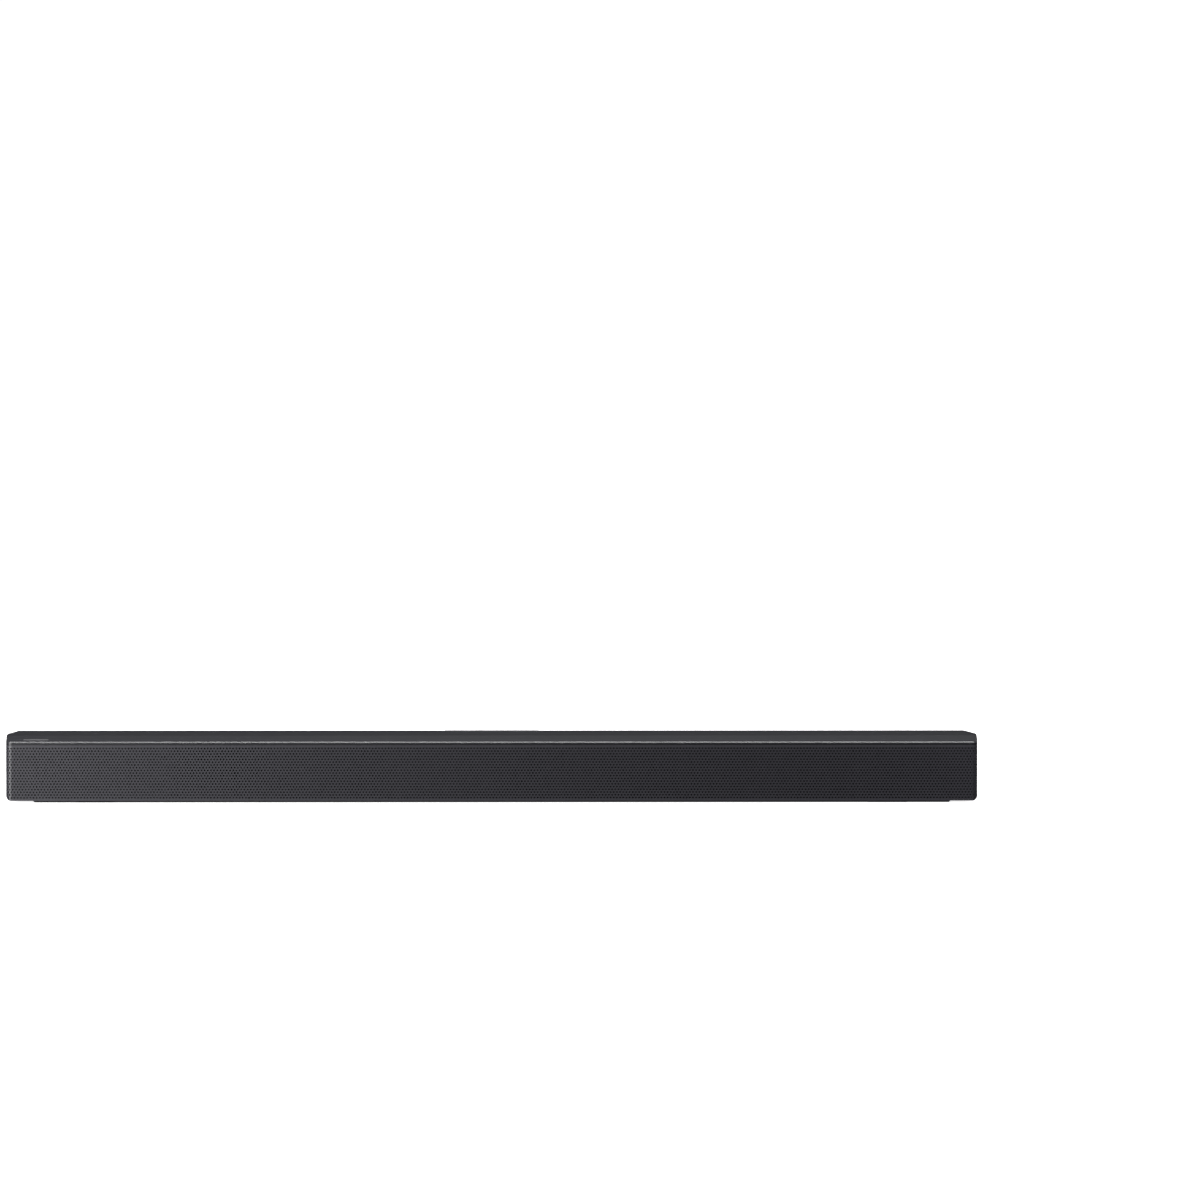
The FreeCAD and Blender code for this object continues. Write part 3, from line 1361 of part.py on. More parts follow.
def make_tweeter(side_name, side):
    """One dome tweeter: faceplate, dome and motor."""
    x = side * TWEETER_X
    z = DRIVER_Z
    tag = side_name.title()
    thick = size.flange_thickness
    plate = rod("TweeterDisc" + tag, ALONG_Y, x, FLANGE_FRONT, z, size.tweeter_radius, thick)
    mouth = doc.addObject("Part::Cone", "TweeterMouth" + tag)
    mouth.Placement = FreeCAD.Placement(FreeCAD.Vector(), ALONG_Y)
    bind(mouth, "Radius1", size.dome_radius + size.dome_rim + size.mouth_flare)
    bind(mouth, "Radius2", size.dome_radius + size.dome_rim / 2)
    bind(mouth, "Height", thick)
    bind(mouth, "Placement.Base.x", x)
    bind(mouth, "Placement.Base.y", FLANGE_FRONT)
    bind(mouth, "Placement.Base.z", z)
    drill = size.driver_screw_radius + size.screw_clearance
    through = thick + 2 * SPARE
    holes = [
        rod(f"TweeterHole{tag}{step}", ALONG_Y, sx, FLANGE_FRONT - SPARE, sz, drill, through)
        for step, (sx, sz) in enumerate(tweeter_screw_places(x))
    ]
    node("tweeter_plate_" + side_name, cut("TweeterPlate" + tag, plate, [mouth] + holes))
    rim_rear = BAFFLE_FRONT + size.dome_wall
    outer = size.dome_radius + size.dome_rim
    inner = size.dome_radius - size.rim_lap
    rim = washer("DomeRim" + tag, ALONG_Y, (x, BAFFLE_FRONT, z), outer, inner, size.dome_wall)
    cap = dome("DomeCap" + tag, x, rim_rear, z, size.dome_radius, size.dome_height, size.dome_wall)
    node("tweeter_dome_" + side_name, fuse("TweeterDome" + tag, [rim, cap]))
    outer = size.tweeter_motor_radius
    motor = rod("TweeterCan" + tag, ALONG_Y, x, rim_rear, z, outer, size.tweeter_motor_length)
    inner = size.dome_radius - size.can_ledge
    depth = size.can_room + SPARE
    room = rod("TweeterCanRoom" + tag, ALONG_Y, x, rim_rear - SPARE, z, inner, depth)
    node("tweeter_motor_" + side_name, cut("TweeterMotor" + tag, motor, [room]))


def make_driver_screws():
    """Pan-head screws that hold the drivers to the baffle."""
    screws = []
    height = size.driver_screw_head_height
    radius = size.driver_screw_radius
    length = size.driver_screw_length
    for step, (x, z) in enumerate(driver_screw_places()):
        start = FLANGE_FRONT - height
        head = rod(f"DriverHead{step}", ALONG_Y, x, start, z, size.driver_screw_head, height)
        shank = rod(f"DriverShank{step}", ALONG_Y, x, FLANGE_FRONT, z, radius, length)
        screws.append(fuse(f"DriverScrew{step}", [head, shank]))
    node("driver_screws", group("DriverScrews", screws))


def make_case_screws():
    """Long screws that go up through the case floor posts into the cover's bosses."""
    screws = []
    seat = POST_TOP - size.post_web
    low = seat - size.screw_head_height
    drive = size.screw_head_height / 2
    length = size.post_web + size.screw_bite
    for step, x in enumerate(post_places()):
        radius = size.screw_head_radius
        head = rod(f"CaseHead{step}", ALONG_Z, x, POST_Y, low, radius, size.screw_head_height)
        start = low - SPARE
        socket = rod(f"CaseSocket{step}", ALONG_Z, x, POST_Y, start, radius / 2, drive + SPARE)
        shank = rod(f"CaseShank{step}", ALONG_Z, x, POST_Y, seat, size.screw_radius, length)
        drilled = cut(f"CaseHeadDrilled{step}", head, [socket])
        screws.append(fuse(f"CaseScrew{step}", [drilled, shank]))
    node("case_screws", group("CaseScrews", screws))


def make_wall_inserts():
    """Two brass threaded inserts in the rear wall for a wall bracket, drawn with plain bores."""
    inserts = []
    for side_name, side in SIDES.items():
        x = side * size.wall_fixing_spacing / 2
        start = (x, REAR - size.insert_length, size.wall_fixing_height)
        outer = size.insert_radius
        name = "Insert" + side_name
        inserts.append(washer(name, ALONG_Y, start, outer, size.insert_bore, size.insert_length))
    node("wall_mount_inserts", group("WallMountInserts", inserts))


# Rear sockets from left to right: outside width and height of each shell.
JACKS = {
    "dc_jack": (size.round_jack, size.round_jack),
    "optical_jack": (size.round_jack, size.round_jack),
    "hdmi_jack": (size.hdmi_width, size.flat_jack_height),
    "usb_jack": (size.usb_width, size.flat_jack_height),
}


def jack_places():
    """X of each rear socket."""
    first = (len(JACKS) - 1) / 2
    return {name: (step - first) * size.jack_pitch for step, name in enumerate(JACKS)}


def make_rear_sockets():
    """The four sockets that come through the bay's floor, and the optical shutter."""
    shells = {}
    for name, place in jack_places().items():
        wide, high = JACKS[name]
        low = BAY_MIDDLE - high / 2
        left = place - wide / 2
        shells[name] = box(name + "Shell", left, left + wide, BOARD_REAR, JACK_FACE, low, low + high)
    floor = BOARD_REAR + size.jack_floor
    root_at = BOARD_REAR + size.jack_floor / 2
    depth = JACK_FACE - floor
    x = jack_places()["dc_jack"]
    barrel = rod("DcBarrel", ALONG_Y, x, floor, BAY_MIDDLE, size.dc_bore, depth + SPARE)
    pin = rod("DcPin", ALONG_Y, x, root_at, BAY_MIDDLE, size.dc_pin, depth)
    node("dc_jack", fuse("DcJack", [cut("DcShellBored", shells["dc_jack"], [barrel]), pin]))

    for name, tongue_thickness in (("hdmi_jack", size.hdmi_tongue), ("usb_jack", size.usb_tongue)):
        x = jack_places()[name]
        wide, high = JACKS[name]
        reach = wide / 2 - size.flat_jack_wall
        rise = high / 2 - size.flat_jack_wall
        back = JACK_FACE + SPARE
        slot = box(name + "Slot", x - reach, x + reach, floor, back, BAY_MIDDLE - rise, BAY_MIDDLE + rise)
        reach = reach - size.tongue_clearance
        low = BAY_MIDDLE + size.tongue_lift
        high = low + tongue_thickness
        back = JACK_FACE - size.tongue_setback
        tongue = box(name + "Tongue", x - reach, x + reach, root_at, back, low, high)
        node(name, fuse(name + "Socket", [cut(name + "Hollow", shells[name], [slot]), tongue]))

    x = jack_places()["optical_jack"]
    reach = size.optical_reach
    low = BAY_MIDDLE - reach
    high = BAY_MIDDLE + reach
    cavity = box("OpticalCavity", x - reach, x + reach, floor, JACK_FACE + SPARE, low, high)
    lamp_z = BAY_MIDDLE - size.optical_lamp
    lamp = rod("OpticalLamp", ALONG_Y, x, root_at, lamp_z, size.optical_lamp, size.optical_lamp_length)
    hollow = cut("OpticalShellCut", shells["optical_jack"], [cavity])
    node("optical_jack", fuse("OpticalJack", [hollow, lamp]))
    radius = size.shutter_pin
    gap = size.shutter_gap
    hinge_z = high - radius - gap
    hinge_y = JACK_FACE - radius - size.shutter_setback
    left = x - reach + gap / 2
    pin = rod("ShutterPin", ALONG_X, left, hinge_y, hinge_z, radius, 2 * reach - gap)
    left = x - reach + gap
    right = x + reach - gap
    flap = box("ShutterFlap", left, right, hinge_y - radius, hinge_y, low + gap, hinge_z)
    node("optical_shutter", fuse("OpticalShutter", [pin, flap]))


def make_electronics():
    """The upright main board behind the bay with its parts, and the infrared sensor at the front."""
    reach = size.bay_length / 2 - size.board_margin
    low = size.bay_low
    high = low + size.bay_height
    blank = box("BoardBlank", -reach, reach, BOARD_FRONT, BOARD_REAR, low, high)
    drill = size.screw_radius + size.screw_clearance
    through = size.board_thickness + 2 * SPARE
    holes = [
        rod(f"BoardHole{step}", ALONG_Y, x, BOARD_FRONT - SPARE, z, drill, through)
        for step, (x, z) in enumerate(board_screw_places())
    ]
    node("main_board", cut("MainBoard", blank, holes))

    def on_board(name, x, wide, high, thick, start=BOARD_FRONT, rise=0):
        """A block standing off the board's front face, its middle at x and rise above the board's."""
        left = x - wide / 2
        low = BAY_MIDDLE + rise - high / 2
        return box(name, left, left + wide, start - thick, start, low, low + high)

    chip = size.chip_thickness
    amplifier = on_board("AmplifierChip", -size.amplifier_from_middle, size.amplifier, size.amplifier, chip)
    decoder = on_board("DecoderChip", size.decoder_from_middle, size.decoder, size.decoder, chip)
    memory = on_board("MemoryChip", size.memory_from_middle, size.memory, size.memory, chip)
    node("board_chips", group("BoardChips", [amplifier, decoder, memory]))
    sink_x = -size.amplifier_from_middle
    start = BOARD_FRONT - chip
    wide = size.sink_width
    base = on_board("SinkBase", sink_x, wide, size.sink_height, size.sink_base, start)
    pitch = (wide - size.fin_thickness) / (FIN_COUNT - 1)
    fins = []
    for step in range(FIN_COUNT):
        x = sink_x + (step - (FIN_COUNT - 1) / 2) * pitch
        depth = size.sink_depth
        fins.append(on_board(f"SinkFin{step}", x, size.fin_thickness, size.sink_height, depth, start))
    node("heat_sink", fuse("HeatSink", [base] + fins))
    cans = []
    length = size.capacitor_length
    for step, z in enumerate((BAY_MIDDLE - size.capacitor_drop, BAY_MIDDLE + size.capacitor_rise)):
        for place, x in enumerate((-size.capacitor_left, size.capacitor_right)):
            name = f"Capacitor{step}{place}"
            cans.append(rod(name, ALONG_Y, x, BOARD_FRONT - length, z, size.capacitor_radius, length))
    node("capacitors", group("Capacitors", cans))
    x = size.module_from_middle
    drop = -size.module_drop
    module = on_board(
        "WirelessModule", x, size.module_width, size.module_height, size.module_thickness, rise=drop
    )
    node("wireless_module", module)

    face = BAFFLE_FRONT - size.sensor_board_thickness
    wide = size.sensor_board_length / 2
    high = size.sensor_board_height / 2
    low = DRIVER_Z - high
    node("sensor_board", box("SensorBoard", -wide, wide, face, BAFFLE_FRONT, low, DRIVER_Z + high))
    x = size.receiver_from_middle
    wide = size.receiver_width / 2
    high = size.receiver_height / 2
    front = face - size.receiver_depth
    eye = box("SensorEye", x - wide, x + wide, front, face, DRIVER_Z - high, DRIVER_Z + high)
    start = front - size.lens_stand
    lens_z = DRIVER_Z + size.lens_rise
    bulge = rod("SensorLens", ALONG_Y, x, start, lens_z, size.lens_radius, size.lens_length)
    node("infrared_receiver", fuse("InfraredReceiver", [eye, bulge]))
    lamps = []
    front = face - size.lamp_thickness
    for step in range(LAMP_COUNT):
        left = step * size.lamp_pitch - size.lamps_from_middle
        right = left + size.lamp_length
        top = DRIVER_Z + size.lamp_height
        lamps.append(box(f"StatusLamp{step}", left, right, front, face, DRIVER_Z, top))
    node("status_lamps", group("StatusLamps", lamps))


def make_board_screws():
    """Small screws of the main board and the button board, their heads against the boards."""
    screws = []
    height = size.small_screw_head_height

    def screw(name, turn, seat, head_start):
        head = rod(name + "Head", turn, *head_start, size.screw_head_radius, height)
        shank = rod(name + "Shank", turn, *seat, size.screw_radius, size.small_screw_length)
        screws.append(fuse(name, [head, shank]))

    for step, (x, z) in enumerate(board_screw_places()):
        screw(f"BoardScrew{step}", ALONG_Y, (x, BOARD_FRONT, z), (x, BOARD_FRONT - height, z))
    low = BUTTON_BOARD_TOP - size.board_thickness
    for step, (x, y) in enumerate(button_board_screws()):
        screw(f"ButtonBoardScrew{step}", ALONG_Z, (x, y, low), (x, y, low - height))
    node("electronics_screws", group("ElectronicsScrews", screws))


def make_wiring():
    """Two speaker leads, each a gentle S from the main board to a woofer, and the flat cable."""
    body = new_body("Lead")
    path = flat_sketch(body, "LeadPath", LEAD_Z)
    s_curve(path, -LEAD_START_X, LEAD_START_Y, -LEAD_END_X, LEAD_END_Y)
    ring = side_sketch(body, "LeadRing", -LEAD_START_X)
    circle(ring, LEAD_START_Y, LEAD_Z, size.lead_radius)
    doc.recompute()
    pipe = body.newObject("PartDesign::AdditivePipe", "LeadPipe")
    pipe.Profile = ring
    pipe.Spine = (path, ["Edge1", "Edge2"])
    twin = doc.addObject("Part::Mirroring", "LeadTwin")
    twin.Source = body
    twin.Normal = FreeCAD.Vector(1, 0, 0)
    node("internal_wiring", group("InternalWiring", [body, twin, make_ribbon()]))


def s_curve(sketch, start_x, start_y, end_x, end_y):
    """Two equal arcs towards -X that leave and arrive along X and meet half way."""
    run = (start_x - end_x) / 2
    drop = (start_y - end_y) / 2
    bend = (run * run + drop * drop) / (2 * drop)
    up = FreeCAD.Vector(0, 0, 1)
    first = FreeCAD.Vector(start_x.number, (start_y - bend).number, 0)
    second = FreeCAD.Vector(end_x.number, (end_y + bend).number, 0)
    turn = math.asin(run.number / bend.number)
    arcs = [
        sketch.addGeometry(Part.ArcOfCircle(Part.Circle(centre, up, bend.number), angle, angle + turn))
        for centre, angle in ((first, math.pi / 2), (second, -math.pi / 2))
    ]
    for arc, x, y, centre_y in [
        (arcs[0], start_x, start_y, start_y - bend),
        (arcs[1], end_x, end_y, end_y + bend),
    ]:
        hold(sketch, "DistanceX", -1, 1, arc, 3, x)
        hold(sketch, "DistanceY", -1, 1, arc, 3, centre_y)
        hold(sketch, "DistanceX", -1, 1, arc, 1, x)
        hold(sketch, "DistanceY", -1, 1, arc, 1, y)
        hold(sketch, "DistanceX", -1, 1, arc, 2, start_x - run)


def make_ribbon():
    """The flat cable from the button board forward and down to the main board."""
    body = new_body("Ribbon")
    profile = side_sketch(body, "RibbonProfile", size.ribbon_middle)
    thick = size.ribbon_thickness
    face = BOARD_FRONT - size.ribbon_lift
    low = size.bay_low + size.bay_height - size.ribbon_lap
    under = BUTTON_BOARD_TOP - size.board_thickness
    back = STRIP_Y - size.ribbon_from_strip
    polygon(
        profile,
        [
            (face - thick, low),
            (face, low),
            (face, under - thick),
            (back, under - thick),
            (back, under),
            (face - thick, under),
        ],
    )
    pad(body, profile, size.ribbon_width, both=True)
    return body


def export():
    """Check every object, then write one file for each piece."""
    doc.recompute()
    failed = [item.Name for item in doc.Objects if {"Invalid", "Error"} & set(item.State)]
    if failed:
        raise RuntimeError("not built: " + ", ".join(failed))
    bad = [name for name, item in nodes.items() if item.Shape.isNull() or not item.Shape.isValid()]
    if bad:
        raise RuntimeError("not valid: " + ", ".join(bad))
    os.makedirs("parts", exist_ok=True)
    for name, item in nodes.items():
        item.Shape.exportStep(f"parts/{name}.step")
        print(f"{name}: {len(item.Shape.Solids)} solids, {item.Shape.Volume / 1000:.2f} cm3")


make_base()
make_bottom_case()
make_connector_bay()
make_top_cover()
make_controls()
make_grille()
make_baffle()
for side_label, side_sign in SIDES.items():
    make_woofer(side_label, side_sign)
    make_tweeter(side_label, side_sign)
make_driver_screws()
make_case_screws()
make_wall_inserts()
make_rear_sockets()
make_electronics()
make_board_screws()
make_wiring()
export()
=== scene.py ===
"""Looks of a slim soundbar.

The perforated grille, the cloth behind it, the signs on the buttons, every finish, and the studio.
Lengths are in metres. The bar lies along X, its grille faces -Y and Z is up.
"""

import json
import math

import bpy
import numpy as np
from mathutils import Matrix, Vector


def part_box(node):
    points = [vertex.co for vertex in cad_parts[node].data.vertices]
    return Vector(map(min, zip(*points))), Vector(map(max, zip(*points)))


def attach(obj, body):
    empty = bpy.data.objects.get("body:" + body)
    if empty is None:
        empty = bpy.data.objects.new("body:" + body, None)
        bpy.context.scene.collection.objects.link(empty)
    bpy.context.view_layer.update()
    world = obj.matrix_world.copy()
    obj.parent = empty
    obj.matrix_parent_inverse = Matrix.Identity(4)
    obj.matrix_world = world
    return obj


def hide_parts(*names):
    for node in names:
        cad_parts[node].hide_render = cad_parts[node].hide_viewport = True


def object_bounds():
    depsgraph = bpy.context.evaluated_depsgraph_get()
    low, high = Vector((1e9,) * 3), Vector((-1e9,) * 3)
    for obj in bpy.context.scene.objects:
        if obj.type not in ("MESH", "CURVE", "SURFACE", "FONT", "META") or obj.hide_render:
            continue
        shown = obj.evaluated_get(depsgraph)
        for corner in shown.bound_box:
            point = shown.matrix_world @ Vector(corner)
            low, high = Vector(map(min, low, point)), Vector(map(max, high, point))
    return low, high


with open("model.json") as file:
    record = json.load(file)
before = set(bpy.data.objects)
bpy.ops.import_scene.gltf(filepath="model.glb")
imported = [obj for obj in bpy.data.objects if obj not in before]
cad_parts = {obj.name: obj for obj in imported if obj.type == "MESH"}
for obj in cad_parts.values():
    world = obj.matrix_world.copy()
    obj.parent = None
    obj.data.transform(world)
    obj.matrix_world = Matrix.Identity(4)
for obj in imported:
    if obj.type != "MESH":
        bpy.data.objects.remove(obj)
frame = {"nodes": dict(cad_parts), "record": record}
cad_low, cad_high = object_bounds()
scene = bpy.context.scene
MM = 0.001

# X of the right woofer's axis, and its height; the left one mirrors it.
cone_low, cone_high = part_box("woofer_cone_right")
WOOFER_AXIS = ((cone_low.x + cone_high.x) / 2, (cone_low.z + cone_high.z) / 2)


# ---------------------------------------------------------------- materials


class Finish:
    """One procedural material: a Principled shader with patterns in the part's own coordinates."""

    def __init__(self, slot):
        self.slot = slot
        self.material = bpy.data.materials.new(slot)
        self.material.use_nodes = True
        self.nodes = self.material.node_tree.nodes
        self.links = self.material.node_tree.links
        self.shader = self.nodes["Principled BSDF"]
        self.place = self.nodes.new("ShaderNodeTexCoord").outputs["Object"]

    def set(self, **values):
        """Sets shader sockets by name, with underscores for spaces."""
        for socket, value in values.items():
            self.shader.inputs[socket.replace("_", " ")].default_value = value
        return self

    def math(self, operation, first, second=None):
        """One arithmetic step on patterns or plain numbers."""
        node = self.nodes.new("ShaderNodeMath")
        node.operation = operation
        for slot, value in enumerate((first, second)):
            if value is None:
                continue
            if isinstance(value, (int, float)):
                node.inputs[slot].default_value = value
            else:
                self.links.new(value, node.inputs[slot])
        return node.outputs[0]

    def stretched(self, stretch):
        """The part's coordinates, scaled along each axis."""
        mapping = self.nodes.new("ShaderNodeMapping")
        mapping.inputs["Scale"].default_value = stretch
        self.links.new(self.place, mapping.inputs["Vector"])
        return mapping.outputs[0]

    def speckle(self, size, detail=2.0, stretch=(1, 1, 1)):
        """Soft random grain with features of about the given size in metres."""
        noise = self.nodes.new("ShaderNodeTexNoise")
        noise.inputs["Scale"].default_value = 1 / size
        noise.inputs["Detail"].default_value = detail
        self.links.new(self.stretched(stretch), noise.inputs["Vector"])
        return noise.outputs[0]

    def pebbles(self, size):
        """Rounded cells, like a spark-eroded mould or leathery powder coat."""
        cells = self.nodes.new("ShaderNodeTexVoronoi")
        cells.feature = "SMOOTH_F1"
        cells.inputs["Scale"].default_value = 1 / size
        cells.inputs["Smoothness"].default_value = 0.4
        self.links.new(self.place, cells.inputs["Vector"])
        return cells.outputs["Distance"]

    def axes(self):
        """The three coordinates as separate patterns."""
        split = self.nodes.new("ShaderNodeSeparateXYZ")
        self.links.new(self.place, split.inputs[0])
        return split.outputs

    def ripple(self, value, pitch):
        """A wave from 0 to 1 along a coordinate in metres."""
        turned = self.math("MULTIPLY", value, 2 * math.pi / pitch)
        wave = self.math("SINE", turned)
        return self.math("MULTIPLY", self.math("ADD", wave, 1.0), 0.5)

    def weave(self, pitch):
        """Over-and-under threads across x and across y and z together."""
        x, y, z = self.axes()
        across = self.ripple(x, pitch)
        along = self.ripple(self.math("ADD", y, z), pitch)
        both = self.math("MULTIPLY", across, along)
        not_across = self.math("SUBTRACT", 1.0, across)
        not_along = self.math("SUBTRACT", 1.0, along)
        return self.math("ADD", both, self.math("MULTIPLY", not_across, not_along))

    def rings(self, pitch, centre):
        """Circles about an axis along y, mirrored left and right."""
        x, y, z = self.axes()
        aside = self.math("SUBTRACT", self.math("ABSOLUTE", x), centre[0])
        above = self.math("SUBTRACT", z, centre[1])
        aside = self.math("POWER", aside, 2.0)
        above = self.math("POWER", above, 2.0)
        return self.ripple(self.math("SQRT", self.math("ADD", aside, above)), pitch)

    def spread(self, pattern, socket, low, high):
        """Drives a shader socket from a pattern, as a number range or as two colours."""
        ramp = self.nodes.new("ShaderNodeMapRange" if isinstance(low, float) else "ShaderNodeMix")
        if isinstance(low, float):
            ramp.inputs["To Min"].default_value = low
            ramp.inputs["To Max"].default_value = high
            self.links.new(pattern, ramp.inputs["Value"])
            self.links.new(ramp.outputs[0], self.shader.inputs[socket])
        else:
            ramp.data_type = "RGBA"
            ramp.inputs[6].default_value = (*low, 1)
            ramp.inputs[7].default_value = (*high, 1)
            self.links.new(pattern, ramp.inputs[0])
            self.links.new(ramp.outputs[2], self.shader.inputs[socket])
        return self

    def relief(self, pattern, depth):
        """Raises the surface by up to a depth where the pattern is bright."""
        bump = self.nodes.new("ShaderNodeBump")
        bump.inputs["Distance"].default_value = depth
        bump.inputs["Strength"].default_value = 1.0
        self.links.new(pattern, bump.inputs["Height"])
        self.links.new(bump.outputs[0], self.shader.inputs["Normal"])
        return self


def shade(colour, factor):
    """A colour made darker or lighter by a factor."""
    return tuple(min(1.0, channel * factor) for channel in colour)


def plastic(slot, colour, rough, grain=0.35 * MM, depth=0.012 * MM):
    """Moulded plastic with a spark-eroded texture and faint cloudy variation."""
    finish = Finish(slot).set(Specular_IOR_Level=0.5)
    cloud = finish.speckle(24 * MM, 4.0)
    finish.spread(cloud, "Base Color", shade(colour, 0.88), shade(colour, 1.12))
    finish.spread(finish.speckle(grain * 2, 2.0), "Roughness", rough - 0.05, rough + 0.05)
    return finish.relief(finish.pebbles(grain), depth)


def metal(slot, colour, rough, stretch=(1, 1, 1), grain=0.3 * MM):
    """Plated, turned or brushed metal; stretch draws the grain out along an axis."""
    finish = Finish(slot).set(Metallic=1.0)
    streak = finish.speckle(grain, 3.0, stretch)
    finish.spread(streak, "Base Color", shade(colour, 0.86), shade(colour, 1.1))
    finish.spread(streak, "Roughness", rough - 0.08, rough + 0.1)
    return finish.relief(streak, 0.004 * MM)


def woven(slot, colour, pitch, rough, specular=0.3, depth=0.06 * MM):
    """Plain-woven fabric."""
    finish = Finish(slot).set(Specular_IOR_Level=specular)
    threads = finish.weave(pitch)
    finish.spread(threads, "Base Color", shade(colour, 0.55), shade(colour, 1.35))
    finish.spread(finish.speckle(1.2 * MM, 3.0), "Roughness", rough - 0.06, rough + 0.06)
    return finish.relief(threads, depth)


def rubber(slot, colour, rough, grain=0.25 * MM, depth=0.006 * MM):
    """Soft rubber with a faint bloom."""
    finish = Finish(slot).set(Specular_IOR_Level=0.4)
    bloom = finish.speckle(6 * MM, 5.0)
    finish.spread(bloom, "Base Color", shade(colour, 0.8), shade(colour, 1.3))
    finish.spread(bloom, "Roughness", rough - 0.05, rough + 0.08)
    return finish.relief(finish.speckle(grain, 3.0), depth)


def powder_coat():
    """Satin powder coat on perforated steel: fine orange peel and a little metallic fleck."""
    finish = Finish("mesh_metal").set(Specular_IOR_Level=0.5)
    fleck = finish.speckle(0.5 * MM, 3.0)
    finish.spread(fleck, "Base Color", (0.018, 0.0175, 0.0215), (0.034, 0.033, 0.04))
    finish.spread(finish.speckle(3 * MM, 2.0), "Roughness", 0.42, 0.5)
    return finish.relief(finish.speckle(0.45 * MM, 2.0), 0.02 * MM)


def pulp_cone():
    """Treated paper: fibres, and the faint circles of the felting screen."""
    finish = Finish("cone_paper").set(Specular_IOR_Level=0.3)
    fibres = finish.speckle(0.5 * MM, 5.0)
    finish.spread(fibres, "Base Color", (0.022, 0.022, 0.022), (0.045, 0.044, 0.043))
    finish.spread(fibres, "Roughness", 0.62, 0.8)
    rings = finish.rings(1.6 * MM, WOOFER_AXIS)
    return finish.relief(finish.math("ADD", rings, fibres), 0.05 * MM)


def spider_cloth():
    """Resin-stiffened cotton pressed into rings."""
    finish = Finish("spider_fabric").set(Specular_IOR_Level=0.3)
    threads = finish.weave(0.5 * MM)
    finish.spread(threads, "Base Color", (0.34, 0.24, 0.10), (0.62, 0.47, 0.23))
    finish.spread(threads, "Roughness", 0.7, 0.85)
    rings = finish.rings(2.6 * MM, WOOFER_AXIS)
    faint_threads = finish.math("MULTIPLY", threads, 0.1)
    return finish.relief(finish.math("ADD", rings, faint_threads), 0.5 * MM)


def wound_copper():
    """Enamelled wire in close turns along the coil."""
    finish = Finish("coil_copper").set(Metallic=1.0)
    turns = finish.ripple(finish.axes()[1], 0.3 * MM)
    finish.spread(turns, "Base Color", (0.28, 0.10, 0.04), (0.78, 0.36, 0.16))
    finish.spread(finish.speckle(1 * MM), "Roughness", 0.25, 0.4)
    return finish.relief(turns, 0.06 * MM)


def circuit_board():
    """Green solder mask over copper tracks and pads."""
    finish = Finish("board_green").set(Specular_IOR_Level=0.5, Coat_Weight=0.3)
    tracks = finish.nodes.new("ShaderNodeTexVoronoi")
    tracks.feature = "DISTANCE_TO_EDGE"
    tracks.inputs["Scale"].default_value = 1 / (3.2 * MM)
    finish.links.new(finish.place, tracks.inputs["Vector"])
    lines = finish.math("LESS_THAN", tracks.outputs["Distance"], 0.06)
    finish.spread(lines, "Base Color", (0.010, 0.075, 0.028), (0.045, 0.21, 0.085))
    finish.spread(finish.speckle(2 * MM), "Roughness", 0.28, 0.42)
    return finish.relief(lines, 0.03 * MM)


def clear_lens():
    """Moulded lamp lenses with a faint inner haze."""
    finish = Finish("lamp_clear").set(Specular_IOR_Level=0.6)
    haze = finish.speckle(1.5 * MM, 3.0)
    finish.spread(haze, "Base Color", (0.62, 0.62, 0.58), (0.85, 0.85, 0.82))
    finish.spread(haze, "Roughness", 0.08, 0.2)
    return finish.relief(haze, 0.01 * MM)


def turned_steel():
    """Plated steel with tool rings about the woofer's axis."""
    finish = Finish("motor_steel").set(Metallic=1.0)
    tool = finish.rings(0.7 * MM, WOOFER_AXIS)
    colour = (0.52, 0.52, 0.54)
    cloud = finish.speckle(2 * MM, 3.0)
    finish.spread(cloud, "Base Color", shade(colour, 0.85), shade(colour, 1.1))
    finish.spread(tool, "Roughness", 0.24, 0.4)
    return finish.relief(tool, 0.006 * MM)


FINISHES = {
    finish.slot: finish
    for finish in (
        plastic("case_plastic", (0.022, 0.022, 0.024), 0.5),
        plastic("cover_plastic", (0.015, 0.015, 0.0175), 0.35, 0.28 * MM, 0.005 * MM),
        powder_coat(),
        woven("cloth", (0.010, 0.010, 0.011), 0.45 * MM, 0.85),
        plastic("strip_plastic", (0.045, 0.045, 0.050), 0.38, 0.25 * MM, 0.005 * MM),
        plastic("button_plastic", (0.016, 0.016, 0.018), 0.35, 0.25 * MM, 0.004 * MM),
        metal("inlay_metal", (0.75, 0.75, 0.76), 0.34, (0.05, 1, 1), 0.12 * MM),
        rubber("rubber_pad", (0.016, 0.016, 0.016), 0.7),
        pulp_cone(),
        rubber("surround_rubber", (0.014, 0.014, 0.014), 0.45),
        spider_cloth(),
        wound_copper(),
        turned_steel(),
        plastic("magnet_ferrite", (0.035, 0.034, 0.036), 0.6, 0.6 * MM, 0.02 * MM),
        woven("dome_silk", (0.035, 0.035, 0.04), 0.35 * MM, 0.5, 0.5, 0.02 * MM),
        metal("screw_steel", (0.09, 0.09, 0.095), 0.34),
        metal("insert_brass", (0.78, 0.57, 0.24), 0.28, (1, 0.1, 1)),
        circuit_board(),
        plastic("chip_black", (0.014, 0.014, 0.015), 0.55, 0.2 * MM, 0.006 * MM),
        plastic("socket_plastic", (0.045, 0.045, 0.047), 0.4, 0.3 * MM, 0.005 * MM),
        metal("socket_steel", (0.62, 0.61, 0.60), 0.28, (1, 0.15, 1)),
        metal("sink_aluminium", (0.62, 0.62, 0.63), 0.36, (0.04, 1, 1), 0.2 * MM),
        metal("can_aluminium", (0.55, 0.56, 0.60), 0.25, (1, 1, 0.1)),
        clear_lens(),
        rubber("wire_black", (0.020, 0.020, 0.021), 0.5, 0.6 * MM, 0.01 * MM),
    )
}

